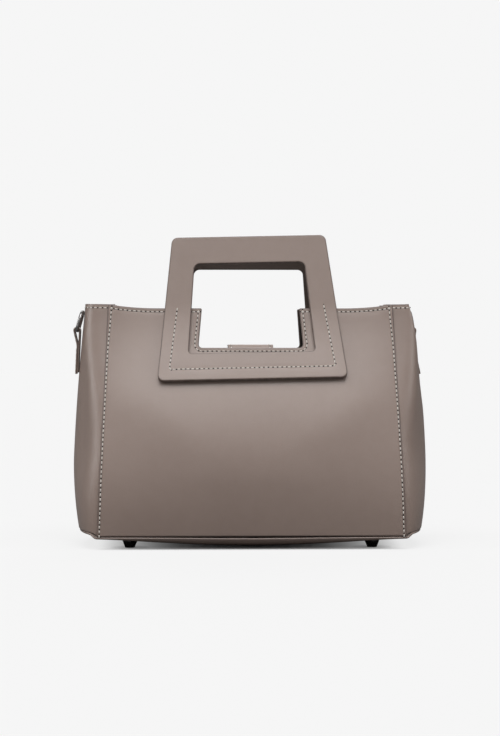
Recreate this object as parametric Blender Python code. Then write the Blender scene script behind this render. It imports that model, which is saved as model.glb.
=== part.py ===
# Structured leather handbag with two stiff trapezoid handles, a sagging base on four metal feet,
# side gussets with D-rings and a leather tab with hidden magnets across the mouth.
# Metres, +Z up, front towards -Y, origin on the floor under the middle of the bag.

import math

import bmesh
import bpy
from mathutils import Matrix, Vector

# Leathers, lining and the gaps that part them
LEATHER = 0.0018
LINING = 0.0008
GAP = 0.0003
OVERRUN = 0.004
PROBE = 0.0004

# Front and back panel, one form turned half round for the back
PANEL_BOTTOM_HEIGHT = 0.011
PANEL_TOP_HEIGHT = 0.2030
TOP_EDGE_DIP = 0.0032
BOTTOM_HALF_WIDTH = 0.1275
TOP_HALF_WIDTH = 0.120
BOTTOM_HALF_DEPTH = 0.062
TOP_HALF_DEPTH = 0.0175
SEAM_TOP_HALF_DEPTH = 0.021
BELLY_HEIGHT = 0.055
FOOT_ANGLE = math.radians(8.0)
SEAM_BELLY_HEIGHT = 0.032
SEAM_FOOT_ANGLE = math.radians(4.0)
SEAM_LEAN_ANGLE = math.radians(11.0)
FLAT_FROM_HEIGHT = 0.060
FLAT_TO_HEIGHT = 0.132
FLAT_WIDTH_SHARE = 0.66

# Finger notch in the top edge of each panel
NOTCH_DEPTH = 0.0365
NOTCH_BOTTOM_HEIGHT = PANEL_TOP_HEIGHT - NOTCH_DEPTH
NOTCH_BOTTOM_HALF_WIDTH = 0.044
NOTCH_TOP_HALF_WIDTH = 0.041
NOTCH_RADIUS = 0.003
LINING_NOTCH_MARGIN = 0.0012

# Linings of the panels
LINING_SIDE_MARGIN = 0.008
LINING_TOP_MARGIN = 0.0012
LINING_BOTTOM_MARGIN = 0.0020

# Gussets: reach is the half width of the bag over them
SEAM_OVERLAP = 0.006
SEAM_ROOM = 0.0006
GUSSET_BELLY_HEIGHT = 0.070
GUSSET_BELLY_BULGE = 0.0225
GUSSET_BOTTOM_BULGE = 0.0170
LEFT_TOP_BULGE = 0.0205
RIGHT_TOP_BULGE = 0.0168
GUSSET_BELLY_REACH = BOTTOM_HALF_WIDTH + GUSSET_BELLY_BULGE
GUSSET_BOTTOM_REACH = BOTTOM_HALF_WIDTH + GUSSET_BOTTOM_BULGE
GUSSET_TOP_RISE = 0.0005
GUSSET_TAPER = 1.3
BOTTOM_ROUNDNESS = 2.4
WAIST_ROUNDNESS = 1.8
TOP_ROUNDNESS = 3.0
WAIST_HEIGHT = 0.085
DENT_HALF_DEPTH = 0.016
DENT_FROM_HEIGHT = 0.110
FOLD_PLACE_SHARE = 0.62
FOLD_WIDTH_SHARE = 0.22
FOLD_FROM_HEIGHT = 0.030
FOLD_TO_HEIGHT = 0.180
FOLD_FADE = 0.050
LEFT_GUSSET = {
    "top_reach": TOP_HALF_WIDTH + LEFT_TOP_BULGE,
    "dent": 0.0004,
    "fold": 0.0022,
    "stand_off": 0.0016,
}
RIGHT_GUSSET = {
    "top_reach": TOP_HALF_WIDTH + RIGHT_TOP_BULGE,
    "dent": 0.0050,
    "fold": 0.0012,
    "stand_off": 0.0,
}
GUSSET_LINING_MARGIN = 0.0012
GUSSET_LINING_GAP = 0.0007
GUSSET_LINING_TURN = math.radians(84.0)
GUSSET_COLUMNS = 16

# Base panel, its board and its lining
BASE_SAG_HEIGHT = 0.0016
BASE_SIDE_RISE = 0.0086
BASE_RISE_HALF_LENGTH = 0.127
BASE_END_LIFT = 0.0045
BASE_END_STEP = 0.0055
BASE_STEP_LENGTH = 0.006
BASE_EDGE_SHARPNESS = 8
BASE_BOARD = 0.0016
BASE_RING_SHARES = (0.97, 0.92, 0.84, 0.62, 0.32)
BOARD_SHARE = 0.84
BASE_LINING_SHARE = 0.90

# Feet and their washers
FOOT_END_MARGIN = 0.0265
FOOT_SIDE_MARGIN = 0.0240
FOOT_HALF_SPACING = BOTTOM_HALF_WIDTH - FOOT_END_MARGIN
FOOT_HALF_TRACK = BOTTOM_HALF_DEPTH - FOOT_SIDE_MARGIN
FOOT_TOP_RADIUS = 0.0065
FOOT_SOLE_RADIUS = 0.0042
FOOT_EDGE = 0.0005
SHANK_RADIUS = 0.0015
SHANK_CLEARANCE = 0.0003
WASHER_RADIUS = 0.0062
WASHER_THICKNESS = 0.0008
WASHER_ROOM = 0.0004

# Handles: a closed trapezoid frame with a hand window, in three layers
HANDLE_DROP = 0.0645
HANDLE_RISE = 0.0570
HANDLE_BOTTOM_HEIGHT = PANEL_TOP_HEIGHT - HANDLE_DROP
HANDLE_TOP_HEIGHT = PANEL_TOP_HEIGHT + HANDLE_RISE
HANDLE_TOP_HALF_DEPTH = 0.0036
HANDLE_BOTTOM_HALF_WIDTH = 0.0795
HANDLE_TOP_HALF_WIDTH = 0.0650
HANDLE_TOP_RADIUS = 0.0055
HANDLE_BOTTOM_RADIUS = 0.0050
HANDLE_GRIP = 0.0230
HANDLE_FOOT = 0.0223
HANDLE_BOTTOM_SIDE = 0.0265
HANDLE_TOP_SIDE = 0.0185
WINDOW_TOP_RADIUS = 0.0050
WINDOW_BOTTOM_RADIUS = 0.0030
HANDLE_FACE = 0.0016
HANDLE_CORE = 0.0010
HANDLE_BACK = 0.0012
HANDLE_EDGE = 0.0005
FRONT_HANDLE = {"turn": math.radians(1.2), "shift": 0.0, "drop": 0.0}
BACK_HANDLE = {"turn": 0.0, "shift": 0.0010, "drop": 0.0040}

# Closure tab across the mouth, its anchor on the back lining and its magnets
TAB_HALF_WIDTH = 0.019
TAB_LAYER = 0.0013
TAB_ANCHOR = 0.0014
TAB_HINGE_DROP = 0.0005
TAB_CROWN_RISE = 0.0030
TAB_DROP = 0.0195
TAB_HINGE_HEIGHT = NOTCH_BOTTOM_HEIGHT - TAB_HINGE_DROP
TAB_CROWN_HEIGHT = TAB_HINGE_HEIGHT + TAB_CROWN_RISE
TAB_END_HEIGHT = TAB_HINGE_HEIGHT - TAB_DROP
TAB_BEND_RADIUS = 0.0060
ANCHOR_DROP = 0.0260
ANCHOR_BOTTOM_HEIGHT = TAB_HINGE_HEIGHT - ANCHOR_DROP
MAGNET_RADIUS = 0.0055
MAGNET_THICKNESS = 0.0010
MAGNET_RISE = 0.0075
PATCH_THICKNESS = 0.0016
PATCH_HALF_WIDTH = 0.016
PATCH_HALF_HEIGHT = 0.0085

# D-rings and the folded tabs that hold them
RING_WIRE_RADIUS = 0.0015
RING_HALF_WIDTH = 0.0110
RING_REACH = 0.0165
RING_CORNER_RADIUS = 0.0030
RING_ARCH_RADIUS = 0.0088
RING_BAR_DROP = 0.0220
RING_BAR_HEIGHT = PANEL_TOP_HEIGHT - RING_BAR_DROP
RING_TAB_LEATHER = 0.0012
RING_TAB_HALF_WIDTH = 0.0080
RING_TAB_LENGTH = 0.0370
RING_TAB_BOTTOM_HEIGHT = RING_BAR_HEIGHT - RING_TAB_LENGTH
RING_TAB_TAPER_LENGTH = 0.012

MATERIALS = {
    "leather": ((0.32, 0.25, 0.22), 0.48, 0.0),
    "lining": ((0.055, 0.045, 0.040), 0.85, 0.0),
    "board": ((0.30, 0.22, 0.15), 0.80, 0.0),
    "gunmetal": ((0.12, 0.12, 0.125), 0.30, 1.0),
    "steel": ((0.55, 0.55, 0.56), 0.35, 1.0),
}


def clear_scene():
    for item in list(bpy.data.objects):
        bpy.data.objects.remove(item)


def material(name):
    found = bpy.data.materials.get(name)
    if found:
        return found
    color, roughness, metallic = MATERIALS[name]
    made = bpy.data.materials.new(name)
    made.use_nodes = True
    shader = made.node_tree.nodes["Principled BSDF"]
    shader.inputs["Base Color"].default_value = (*color, 1.0)
    shader.inputs["Roughness"].default_value = roughness
    shader.inputs["Metallic"].default_value = metallic
    return made


def hinge(name, place, carrier=None):
    empty = bpy.data.objects.new(name, None)
    bpy.context.scene.collection.objects.link(empty)
    empty.location = place
    if carrier:
        empty.parent = carrier
        empty.location = place - carrier.location
    return empty


def add(name, mesh, finish, carrier=None, at=None):
    # The mesh comes in world places, and the object's origin goes to its joint or its own place.
    origin = Vector(at) if at else Vector()
    if carrier:
        carrier_place = carrier.location.copy()
        if carrier.parent:
            carrier_place += carrier.parent.location
        origin = carrier_place
    mesh.transform(Matrix.Translation(-origin))
    mesh.materials.append(material(finish))
    mesh.shade_smooth()
    mesh.set_sharp_from_angle(angle=math.radians(40.0))
    item = bpy.data.objects.new(name, mesh)
    bpy.context.scene.collection.objects.link(item)
    if carrier:
        item.parent = carrier
    else:
        item.location = origin
    return item


def thicken(item, thickness):
    solid = item.modifiers.new("thickness", "SOLIDIFY")
    solid.thickness = thickness
    solid.offset = -1.0


def round_edges(item, width):
    bevel = item.modifiers.new("edge", "BEVEL")
    bevel.width = width
    bevel.segments = 1
    bevel.limit_method = "ANGLE"
    bevel.angle_limit = math.radians(50.0)


def cut(item, cutter):
    cutter.hide_render = True
    cutter.display_type = "WIRE"
    boolean = item.modifiers.new("cut by " + cutter.name, "BOOLEAN")
    boolean.operation = "DIFFERENCE"
    boolean.solver = "EXACT"
    boolean.object = cutter


def turned(mesh):
    # Half a turn about the upright axis takes a front piece to the back, or a right one to the left.
    mesh.transform(Matrix.Rotation(math.pi, 4, "Z"))
    return mesh


def mix(start, end, share):
    return start + (end - start) * share


def smooth(share):
    held = min(max(share, 0.0), 1.0)
    return held * held * (3.0 - 2.0 * held)


def hermite(share, start, end, start_rise, end_rise):
    square = share * share
    cube = square * share
    return (
        (2.0 * cube - 3.0 * square + 1.0) * start
        + (cube - 2.0 * square + share) * start_rise
        + (3.0 * square - 2.0 * cube) * end
        + (cube - square) * end_rise
    )


def grid_mesh(name, point_at, columns, rows):
    points = []
    for row in range(rows + 1):
        points.extend(point_at(column / columns, row / rows) for column in range(columns + 1))
    width = columns + 1
    faces = []
    for row in range(rows):
        for column in range(columns):
            corner = row * width + column
            faces.append((corner, corner + 1, corner + width + 1, corner + width))
    mesh = bpy.data.meshes.new(name)
    mesh.from_pydata(points, [], faces)
    return mesh


def prism_mesh(name, outline, sweep):
    # A closed flat outline drawn through a sweep, with its normals made to face outwards.
    shape = bmesh.new()
    base = shape.faces.new([shape.verts.new(point) for point in outline])
    drawn = bmesh.ops.extrude_face_region(shape, geom=[base])
    moved = [part for part in drawn["geom"] if isinstance(part, bmesh.types.BMVert)]
    bmesh.ops.translate(shape, verts=moved, vec=sweep)
    bmesh.ops.recalc_face_normals(shape, faces=shape.faces)
    mesh = bpy.data.meshes.new(name)
    shape.to_mesh(mesh)
    shape.free()
    return mesh


def turned_mesh(name, profile, sides, top_at=None):
    # A profile of (radius, height) pairs from the axis, round to the axis again, spun about Z.
    shape = bmesh.new()
    rings = []
    for radius, height in profile:
        if radius == 0.0:
            rings.append([shape.verts.new((0.0, 0.0, height))])
            continue
        ring = []
        for side in range(sides):
            angle = 2.0 * math.pi * side / sides
            ring.append(shape.verts.new((radius * math.cos(angle), radius * math.sin(angle), height)))
        rings.append(ring)
    for low, high in zip(rings, rings[1:]):
        for side in range(sides):
            following = (side + 1) % sides
            corners = [low[side % len(low)], low[following % len(low)]]
            corners += [high[following % len(high)], high[side % len(high)]]
            shape.faces.new(list(dict.fromkeys(corners)))
    if top_at:
        top_at(shape)
    bmesh.ops.recalc_face_normals(shape, faces=shape.faces)
    mesh = bpy.data.meshes.new(name)
    shape.to_mesh(mesh)
    shape.free()
    return mesh


def rounded_outline(corners, arc_steps, side_steps):
    # Corners are (across, up, radius), counter-clockwise. Each gives an arc, and each side its steps.
    arcs = []
    count = len(corners)
    for index, (across, up, radius) in enumerate(corners):
        here = Vector((across, up))
        before = (Vector(corners[index - 1][:2]) - here).normalized()
        after = (Vector(corners[(index + 1) % count][:2]) - here).normalized()
        half_angle = before.angle(after) / 2.0
        center = here + (before + after).normalized() * (radius / math.sin(half_angle))
        start = here + before * (radius / math.tan(half_angle)) - center
        sweep = math.pi - 2.0 * half_angle
        turns = [sweep * step / arc_steps for step in range(arc_steps + 1)]
        arcs.append([center + Matrix.Rotation(turn, 2) @ start for turn in turns])
    outline = []
    for index, arc in enumerate(arcs):
        outline.extend(arc)
        following = arcs[(index + 1) % count][0]
        for step in range(1, side_steps):
            outline.append(arc[-1].lerp(following, step / side_steps))
    return outline


def up_share(z):
    return (z - PANEL_BOTTOM_HEIGHT) / (PANEL_TOP_HEIGHT - PANEL_BOTTOM_HEIGHT)


def half_width(z):
    return mix(BOTTOM_HALF_WIDTH, TOP_HALF_WIDTH, up_share(z))


def side_weight(x, z):
    # 0 over the flat field that carries the handle, 1 at the seam.
    across = min(abs(x) / half_width(z), 1.0)
    flat = FLAT_WIDTH_SHARE * smooth((z - FLAT_FROM_HEIGHT) / (FLAT_TO_HEIGHT - FLAT_FROM_HEIGHT))
    return max(0.0, (across - flat) / (1.0 - flat)) ** 2


def upright_profile(z, belly_height, foot_slope, top_half_depth, lean_slope):
    # Half depth at a height: out from the foot to the belly, in to the top, then straight on.
    foot_length = belly_height - PANEL_BOTTOM_HEIGHT
    belly = BOTTOM_HALF_DEPTH + foot_length * foot_slope / 2.0
    if z < belly_height:
        share = (z - PANEL_BOTTOM_HEIGHT) / foot_length
        return hermite(share, BOTTOM_HALF_DEPTH, belly, foot_length * foot_slope, 0.0)
    length = PANEL_TOP_HEIGHT - belly_height
    if z < PANEL_TOP_HEIGHT:
        return hermite((z - belly_height) / length, belly, top_half_depth, 0.0, -length * lean_slope)
    return top_half_depth - (z - PANEL_TOP_HEIGHT) * lean_slope


def panel_depth(x, z):
    # How far the panel's outer face lies before the middle of the bag.
    handle_lean = (TOP_HALF_DEPTH - HANDLE_TOP_HALF_DEPTH) / HANDLE_RISE
    middle = upright_profile(z, BELLY_HEIGHT, math.tan(FOOT_ANGLE), TOP_HALF_DEPTH, handle_lean)
    seam = upright_profile(
        z,
        SEAM_BELLY_HEIGHT,
        math.tan(SEAM_FOOT_ANGLE),
        SEAM_TOP_HALF_DEPTH,
        math.tan(SEAM_LEAN_ANGLE),
    )
    return mix(middle, seam, side_weight(x, z))


def panel_point(x, z, depth):
    # A point at this depth behind the front panel's outer face, or before it where depth is negative.
    across_slope = (panel_depth(x + PROBE, z) - panel_depth(x - PROBE, z)) / (2.0 * PROBE)
    up_slope = (panel_depth(x, z + PROBE) - panel_depth(x, z - PROBE)) / (2.0 * PROBE)
    inward = Vector((across_slope, 1.0, up_slope)).normalized()
    return Vector((x, -panel_depth(x, z), z)) + inward * depth


def middle_at_height(z, depth):
    # Half depth of the layer at this depth, at its own height z, on the middle line of the panel.
    slope = (panel_depth(0.0, z + PROBE) - panel_depth(0.0, z - PROBE)) / (2.0 * PROBE)
    return panel_depth(0.0, z) - depth * math.sqrt(1.0 + slope * slope)


def top_edge(x):
    return PANEL_TOP_HEIGHT - TOP_EDGE_DIP * (1.0 - side_weight(x, PANEL_TOP_HEIGHT))


def panel_layer(name, depth, side_margin, top_margin, bottom_margin, columns, rows):
    def point_at(column_share, row_share):
        across = 2.0 * column_share - 1.0
        low = PANEL_BOTTOM_HEIGHT + bottom_margin
        high = top_edge(across * TOP_HALF_WIDTH) - top_margin
        z = mix(low, high, row_share)
        return panel_point(across * (half_width(z) - side_margin), z, depth)

    return grid_mesh(name, point_at, columns, rows)


def notch_cutter(name, margin):
    above = PANEL_TOP_HEIGHT + OVERRUN
    top_half = NOTCH_TOP_HALF_WIDTH + margin
    bottom_half = NOTCH_BOTTOM_HALF_WIDTH + margin
    low = NOTCH_BOTTOM_HEIGHT - margin
    corners = [
        (-bottom_half, low, NOTCH_RADIUS),
        (bottom_half, low, NOTCH_RADIUS),
        (top_half, above, NOTCH_RADIUS),
        (-top_half, above, NOTCH_RADIUS),
    ]
    outline = [(point.x, -BOTTOM_HALF_DEPTH, point.y) for point in rounded_outline(corners, 3, 1)]
    return prism_mesh(name, outline, Vector((0.0, BOTTOM_HALF_DEPTH, 0.0)))


def panels(front_hinge, back_hinge):
    lining_depth = LEATHER + GAP
    for side, carrier in (("front", front_hinge), ("back", back_hinge)):
        outer = panel_layer(side + "_panel", 0.0, 0.0, 0.0, 0.0, 24, 12)
        inner = panel_layer(
            side + "_lining",
            lining_depth,
            LINING_SIDE_MARGIN,
            LINING_TOP_MARGIN,
            LINING_BOTTOM_MARGIN,
            20,
            10,
        )
        notch = notch_cutter(side + "_notch", 0.0)
        lining_notch = notch_cutter(side + "_lining_notch", LINING_NOTCH_MARGIN)
        if side == "back":
            for mesh in (outer, inner, notch, lining_notch):
                turned(mesh)
        panel = add(side + "_panel", outer, "leather", carrier)
        thicken(panel, LEATHER)
        cut(panel, add(side + "_notch_cutter", notch, "leather"))
        lining = add(side + "_lining", inner, "lining", carrier)
        thicken(lining, LINING)
        cut(lining, add(side + "_lining_notch_cutter", lining_notch, "lining"))


def seam_start(z):
    return half_width(z) - SEAM_OVERLAP


def seam_half_depth(z):
    # The gusset's outer face where it lies under the edge of the panel.
    under = panel_point(seam_start(z), z, LEATHER + SEAM_ROOM)
    slope = (panel_depth(seam_start(z), z + PROBE) - panel_depth(seam_start(z), z - PROBE)) / (2.0 * PROBE)
    return -under.y - (under.z - z) * slope


def gusset_reach(gusset, z):
    if z < GUSSET_BELLY_HEIGHT:
        share = (GUSSET_BELLY_HEIGHT - z) / (GUSSET_BELLY_HEIGHT - PANEL_BOTTOM_HEIGHT)
        return mix(GUSSET_BELLY_REACH, GUSSET_BOTTOM_REACH, share * share)
    share = (z - GUSSET_BELLY_HEIGHT) / (PANEL_TOP_HEIGHT - GUSSET_BELLY_HEIGHT)
    return mix(GUSSET_BELLY_REACH, gusset["top_reach"], share**GUSSET_TAPER)


def gusset_roundness(z):
    # Full corners at the bottom and the top, and a slack section at the waist between them.
    if z < WAIST_HEIGHT:
        share = (z - PANEL_BOTTOM_HEIGHT) / (WAIST_HEIGHT - PANEL_BOTTOM_HEIGHT)
        return mix(BOTTOM_ROUNDNESS, WAIST_ROUNDNESS, smooth(share))
    share = (z - WAIST_HEIGHT) / (PANEL_TOP_HEIGHT - WAIST_HEIGHT)
    return mix(WAIST_ROUNDNESS, TOP_ROUNDNESS, smooth(share))


def gusset_section(gusset, z, turn):
    # Point of the level section of the right gusset, from -90 degrees at the front seam to +90 at the back.
    power = 2.0 / gusset_roundness(z)
    start = seam_start(z)
    half_depth = seam_half_depth(z)
    y = half_depth * math.copysign(abs(math.sin(turn)) ** power, turn)
    x = start + (gusset_reach(gusset, z) - start) * max(math.cos(turn), 0.0) ** power
    sunk = gusset["dent"] * smooth((z - DENT_FROM_HEIGHT) / (PANEL_TOP_HEIGHT - DENT_FROM_HEIGHT))
    x -= sunk * math.exp(-((y / DENT_HALF_DEPTH) ** 4))
    folded = smooth((z - FOLD_FROM_HEIGHT) / FOLD_FADE) * smooth((FOLD_TO_HEIGHT - z) / FOLD_FADE)
    off = (abs(y) / half_depth - FOLD_PLACE_SHARE) / FOLD_WIDTH_SHARE
    x -= gusset["fold"] * folded * math.exp(-off * off)
    return Vector((x, y, z))


def end_lift(x):
    # How far the base's edge climbs beyond the panels: a short step, then a slow rise.
    start = BOTTOM_HALF_WIDTH + LEATHER / 2.0
    beyond = abs(x) - start
    rise = smooth(beyond / (GUSSET_BOTTOM_REACH - start))
    return BASE_END_STEP * smooth(beyond / BASE_STEP_LENGTH) + BASE_END_LIFT * rise


def crowded_turn(limit, share):
    # Turns lie closer together towards the seams, where the section bends most.
    return limit * math.sin(mix(-math.pi / 2.0, math.pi / 2.0, share))


def gusset_point(gusset, turn, row_share, low_margin, top_margin):
    foot = gusset_section(gusset, PANEL_BOTTOM_HEIGHT, turn)
    inner_y = math.copysign(max(abs(foot.y) - LEATHER, 0.0), foot.y)
    under = max(base_height_at(foot.x, y, LEATHER) for y in (foot.y, inner_y))
    low = under + 3.0 * GAP + low_margin
    high = PANEL_TOP_HEIGHT + GUSSET_TOP_RISE * math.cos(turn) - top_margin
    return gusset_section(gusset, mix(low, high, row_share), turn)


def gusset_layer(name, gusset, depth, limit, margin, columns, rows):
    small_turn = math.radians(1.0)

    def point_at(column_share, row_share):
        turn = crowded_turn(limit, column_share)
        here = gusset_point(gusset, turn, row_share, margin, margin)
        if depth == 0.0:
            return here
        ahead = gusset_section(gusset, here.z, min(turn + small_turn, math.pi / 2.0))
        behind = gusset_section(gusset, here.z, max(turn - small_turn, -math.pi / 2.0))
        above = gusset_section(gusset, here.z + PROBE, turn)
        below = gusset_section(gusset, here.z - PROBE, turn)
        outward = (ahead - behind).cross(above - below).normalized()
        return here - outward * depth

    return grid_mesh(name, point_at, columns, rows)


def gussets():
    for side, gusset in (("left", LEFT_GUSSET), ("right", RIGHT_GUSSET)):
        outer = gusset_layer(side + "_gusset", gusset, 0.0, math.pi / 2.0, 0.0, GUSSET_COLUMNS, 12)
        inner = gusset_layer(
            side + "_gusset_lining",
            gusset,
            LEATHER + GUSSET_LINING_GAP,
            GUSSET_LINING_TURN,
            GUSSET_LINING_MARGIN,
            GUSSET_COLUMNS,
            8,
        )
        if side == "left":
            turned(outer)
            turned(inner)
        thicken(add(side + "_gusset", outer, "leather"), LEATHER)
        thicken(add(side + "_gusset_lining", inner, "lining"), LINING)


def base_outline():
    # Right end from front to back, then the left end: the long sides run between them.
    steps = GUSSET_COLUMNS
    right = []
    for step in range(steps + 1):
        turn = crowded_turn(math.pi / 2.0, step / steps)
        point = gusset_section(RIGHT_GUSSET, PANEL_BOTTOM_HEIGHT, turn)
        point.y *= BOTTOM_HALF_DEPTH / seam_half_depth(PANEL_BOTTOM_HEIGHT)
        right.append(point)
    sides = 8
    outline = list(right)
    for step in range(1, sides):
        outline.append(right[-1].lerp(Vector((-right[-1].x, right[-1].y, right[-1].z)), step / sides))
    outline.extend(Vector((-point.x, -point.y, point.z)) for point in right)
    for step in range(1, sides):
        outline.append(Vector((-right[0].x, right[0].y, right[0].z)).lerp(right[0], step / sides))
    return outline


def base_middle_height(x):
    return BASE_SAG_HEIGHT + BASE_SIDE_RISE * (x / BASE_RISE_HALF_LENGTH) ** 2


def base_height(edge, share, depth):
    # Height of the layer at this depth over the base's lower face, on the way from its middle to an edge.
    edge_height = PANEL_BOTTOM_HEIGHT + end_lift(edge.x) - GAP - LEATHER
    rise = edge_height - base_middle_height(edge.x)
    return base_middle_height(edge.x * share) + rise * share**BASE_EDGE_SHARPNESS + depth


def base_height_at(x, y, depth):
    # The same height for a point given by its place: its share is where it lies on the ray to the edge.
    outline = base_outline()
    for start, end in zip(outline, outline[1:] + outline[:1]):
        across = start.x * end.y - start.y * end.x
        low = x * end.y - y * end.x
        high = start.x * y - start.y * x
        if low >= 0.0 and high >= 0.0 and low + high > 0.0:
            share = (low + high) / across
            return base_height(start.lerp(end, high / (low + high)), share, depth)
    return base_height(outline[0], 0.0, depth)


def base_layer(name, outer_share, depth):
    outline = base_outline()
    shares = [outer_share] + [share for share in BASE_RING_SHARES if share < outer_share]
    shape = bmesh.new()
    rings = []
    for share in shares:
        ring = []
        for edge in outline:
            place = (edge.x * share, edge.y * share, base_height(edge, share, depth))
            ring.append(shape.verts.new(place))
        rings.append(ring)
    middle = shape.verts.new((0.0, 0.0, base_middle_height(0.0) + depth))
    count = len(outline)
    for outer, inner in zip(rings, rings[1:]):
        for index in range(count):
            following = (index + 1) % count
            shape.faces.new((outer[index], inner[index], inner[following], outer[following]))
    for index in range(count):
        shape.faces.new((rings[-1][index], middle, rings[-1][(index + 1) % count]))
    mesh = bpy.data.meshes.new(name)
    shape.to_mesh(mesh)
    shape.free()
    return mesh


def foot_places():
    for end, x in (("left", -FOOT_HALF_SPACING), ("right", FOOT_HALF_SPACING)):
        for side, y in (("front", -FOOT_HALF_TRACK), ("back", FOOT_HALF_TRACK)):
            yield side + "_" + end, x, y


def washer_lift():
    # The washer lies level on the climbing board, so it clears the board's highest point under it.
    return WASHER_ROOM + WASHER_RADIUS * 2.0 * BASE_SIDE_RISE * FOOT_HALF_SPACING / BASE_RISE_HALF_LENGTH**2


def base():
    board_depth = LEATHER + GAP
    lining_depth = board_depth + BASE_BOARD + WASHER_THICKNESS + 3.0 * GAP + 2.0 * washer_lift()
    panel = add("base_panel", base_layer("base_panel", 1.0, 0.0), "leather")
    thicken(panel, LEATHER)
    board = add("base_board", base_layer("base_board", BOARD_SHARE, board_depth), "board")
    thicken(board, BASE_BOARD)
    lining = add("base_lining", base_layer("base_lining", BASE_LINING_SHARE, lining_depth), "lining")
    thicken(lining, LINING)
    hole = SHANK_RADIUS + SHANK_CLEARANCE
    for name, x, y in foot_places():
        drill = turned_mesh(
            name + "_hole",
            ((0.0, 0.0), (hole, 0.0), (hole, BOTTOM_HALF_DEPTH), (0.0, BOTTOM_HALF_DEPTH)),
            12,
        )
        drill.transform(Matrix.Translation((x, y, 0.0)))
        cutter = add(name + "_hole_cutter", drill, "steel")
        cut(panel, cutter)
        cut(board, cutter)


def feet():
    for name, x, y in foot_places():
        seat = base_height_at(x, y, 0.0) - GAP
        washer_height = base_height_at(x, y, LEATHER + BASE_BOARD + 2.0 * GAP) + washer_lift()
        shank_top = washer_height + WASHER_THICKNESS

        def follow_base(shape, x=x, y=y, seat=seat):
            # The top of the foot beds into the leather, so its rim follows the base.
            for point in shape.verts:
                radius = math.hypot(point.co.x, point.co.y)
                if seat - FOOT_EDGE - PROBE / 2.0 < point.co.z < seat + PROBE / 2.0 and radius > 0.0:
                    point.co.z += base_height_at(x + point.co.x, y + point.co.y, 0.0) - GAP - seat

        profile = (
            (0.0, 0.0),
            (FOOT_SOLE_RADIUS - FOOT_EDGE, 0.0),
            (FOOT_SOLE_RADIUS, FOOT_EDGE),
            (FOOT_TOP_RADIUS, seat - FOOT_EDGE),
            (FOOT_TOP_RADIUS - FOOT_EDGE, seat),
            (SHANK_RADIUS, seat),
            (SHANK_RADIUS, shank_top),
            (0.0, shank_top),
        )
        foot = turned_mesh(name + "_foot", profile, 20, follow_base)
        foot.transform(Matrix.Translation((x, y, 0.0)))
        add(name + "_foot", foot, "gunmetal", at=(x, y, 0.0))
        bore = SHANK_RADIUS + SHANK_CLEARANCE
        ring = (
            (bore, washer_height),
            (WASHER_RADIUS, washer_height),
            (WASHER_RADIUS, shank_top),
            (bore, shank_top),
            (bore, washer_height),
        )
        washer = washer_mesh(name + "_washer", ring, 16)
        washer.transform(Matrix.Translation((x, y, 0.0)))
        add(name + "_washer", washer, "steel", at=(x, y, washer_height))


def washer_mesh(name, ring, sides):
    mesh = turned_mesh(name, ring, sides)
    shape = bmesh.new()
    shape.from_mesh(mesh)
    bmesh.ops.remove_doubles(shape, verts=shape.verts, dist=PROBE / 10.0)
    bmesh.ops.recalc_face_normals(shape, faces=shape.faces)
    shape.to_mesh(mesh)
    shape.free()
    return mesh


def handle_outlines(handle):
    outer = [
        (-HANDLE_BOTTOM_HALF_WIDTH, HANDLE_BOTTOM_HEIGHT, HANDLE_BOTTOM_RADIUS),
        (HANDLE_BOTTOM_HALF_WIDTH, HANDLE_BOTTOM_HEIGHT, HANDLE_BOTTOM_RADIUS),
        (HANDLE_TOP_HALF_WIDTH, HANDLE_TOP_HEIGHT, HANDLE_TOP_RADIUS),
        (-HANDLE_TOP_HALF_WIDTH, HANDLE_TOP_HEIGHT, HANDLE_TOP_RADIUS),
    ]
    window_bottom = HANDLE_BOTTOM_HEIGHT + HANDLE_FOOT
    window_top = HANDLE_TOP_HEIGHT - HANDLE_GRIP
    bottom_half = HANDLE_BOTTOM_HALF_WIDTH - HANDLE_BOTTOM_SIDE
    top_half = HANDLE_TOP_HALF_WIDTH - HANDLE_TOP_SIDE
    window = [
        (-bottom_half, window_bottom, WINDOW_BOTTOM_RADIUS),
        (bottom_half, window_bottom, WINDOW_BOTTOM_RADIUS),
        (top_half, window_top, WINDOW_TOP_RADIUS),
        (-top_half, window_top, WINDOW_TOP_RADIUS),
    ]
    center = Vector((0.0, (HANDLE_BOTTOM_HEIGHT + HANDLE_TOP_HEIGHT) / 2.0))
    turning = Matrix.Rotation(handle["turn"], 2)
    moved = center + Vector((handle["shift"], -handle["drop"]))
    placed = []
    for corners in (outer, window):
        placed.append([turning @ (point - center) + moved for point in rounded_outline(corners, 4, 7)])
    return placed


def handle_layer(name, handle, depth):
    # A ring of faces from the outer edge to the window, laid at this depth over the panel.
    outer, window = handle_outlines(handle)
    count = len(outer)
    steps = 2
    points = []
    for step in range(steps + 1):
        for index in range(count):
            flat = outer[index].lerp(window[index], step / steps)
            points.append(panel_point(flat.x, flat.y, depth))
    faces = []
    for step in range(steps):
        for index in range(count):
            following = (index + 1) % count
            low = step * count
            faces.append((low + index, low + following, low + count + following, low + count + index))
    mesh = bpy.data.meshes.new(name)
    mesh.from_pydata(points, [], faces)
    return mesh


def handles(front_hinge, back_hinge):
    layers = (
        ("back", HANDLE_BACK, "leather", HANDLE_BACK + GAP),
        ("core", HANDLE_CORE, "board", HANDLE_BACK + HANDLE_CORE + 2.0 * GAP),
        ("face", HANDLE_FACE, "leather", HANDLE_BACK + HANDLE_CORE + HANDLE_FACE + 3.0 * GAP),
    )
    sets = (("front", FRONT_HANDLE, front_hinge), ("back", BACK_HANDLE, back_hinge))
    for side, handle, carrier in sets:
        for layer, thickness, finish, height in layers:
            name = side + "_handle_" + layer
            mesh = handle_layer(name, handle, -height)
            if side == "back":
                turned(mesh)
            piece = add(name, mesh, finish, carrier)
            thicken(piece, thickness)
            if layer == "face":
                round_edges(piece, HANDLE_EDGE)


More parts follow.
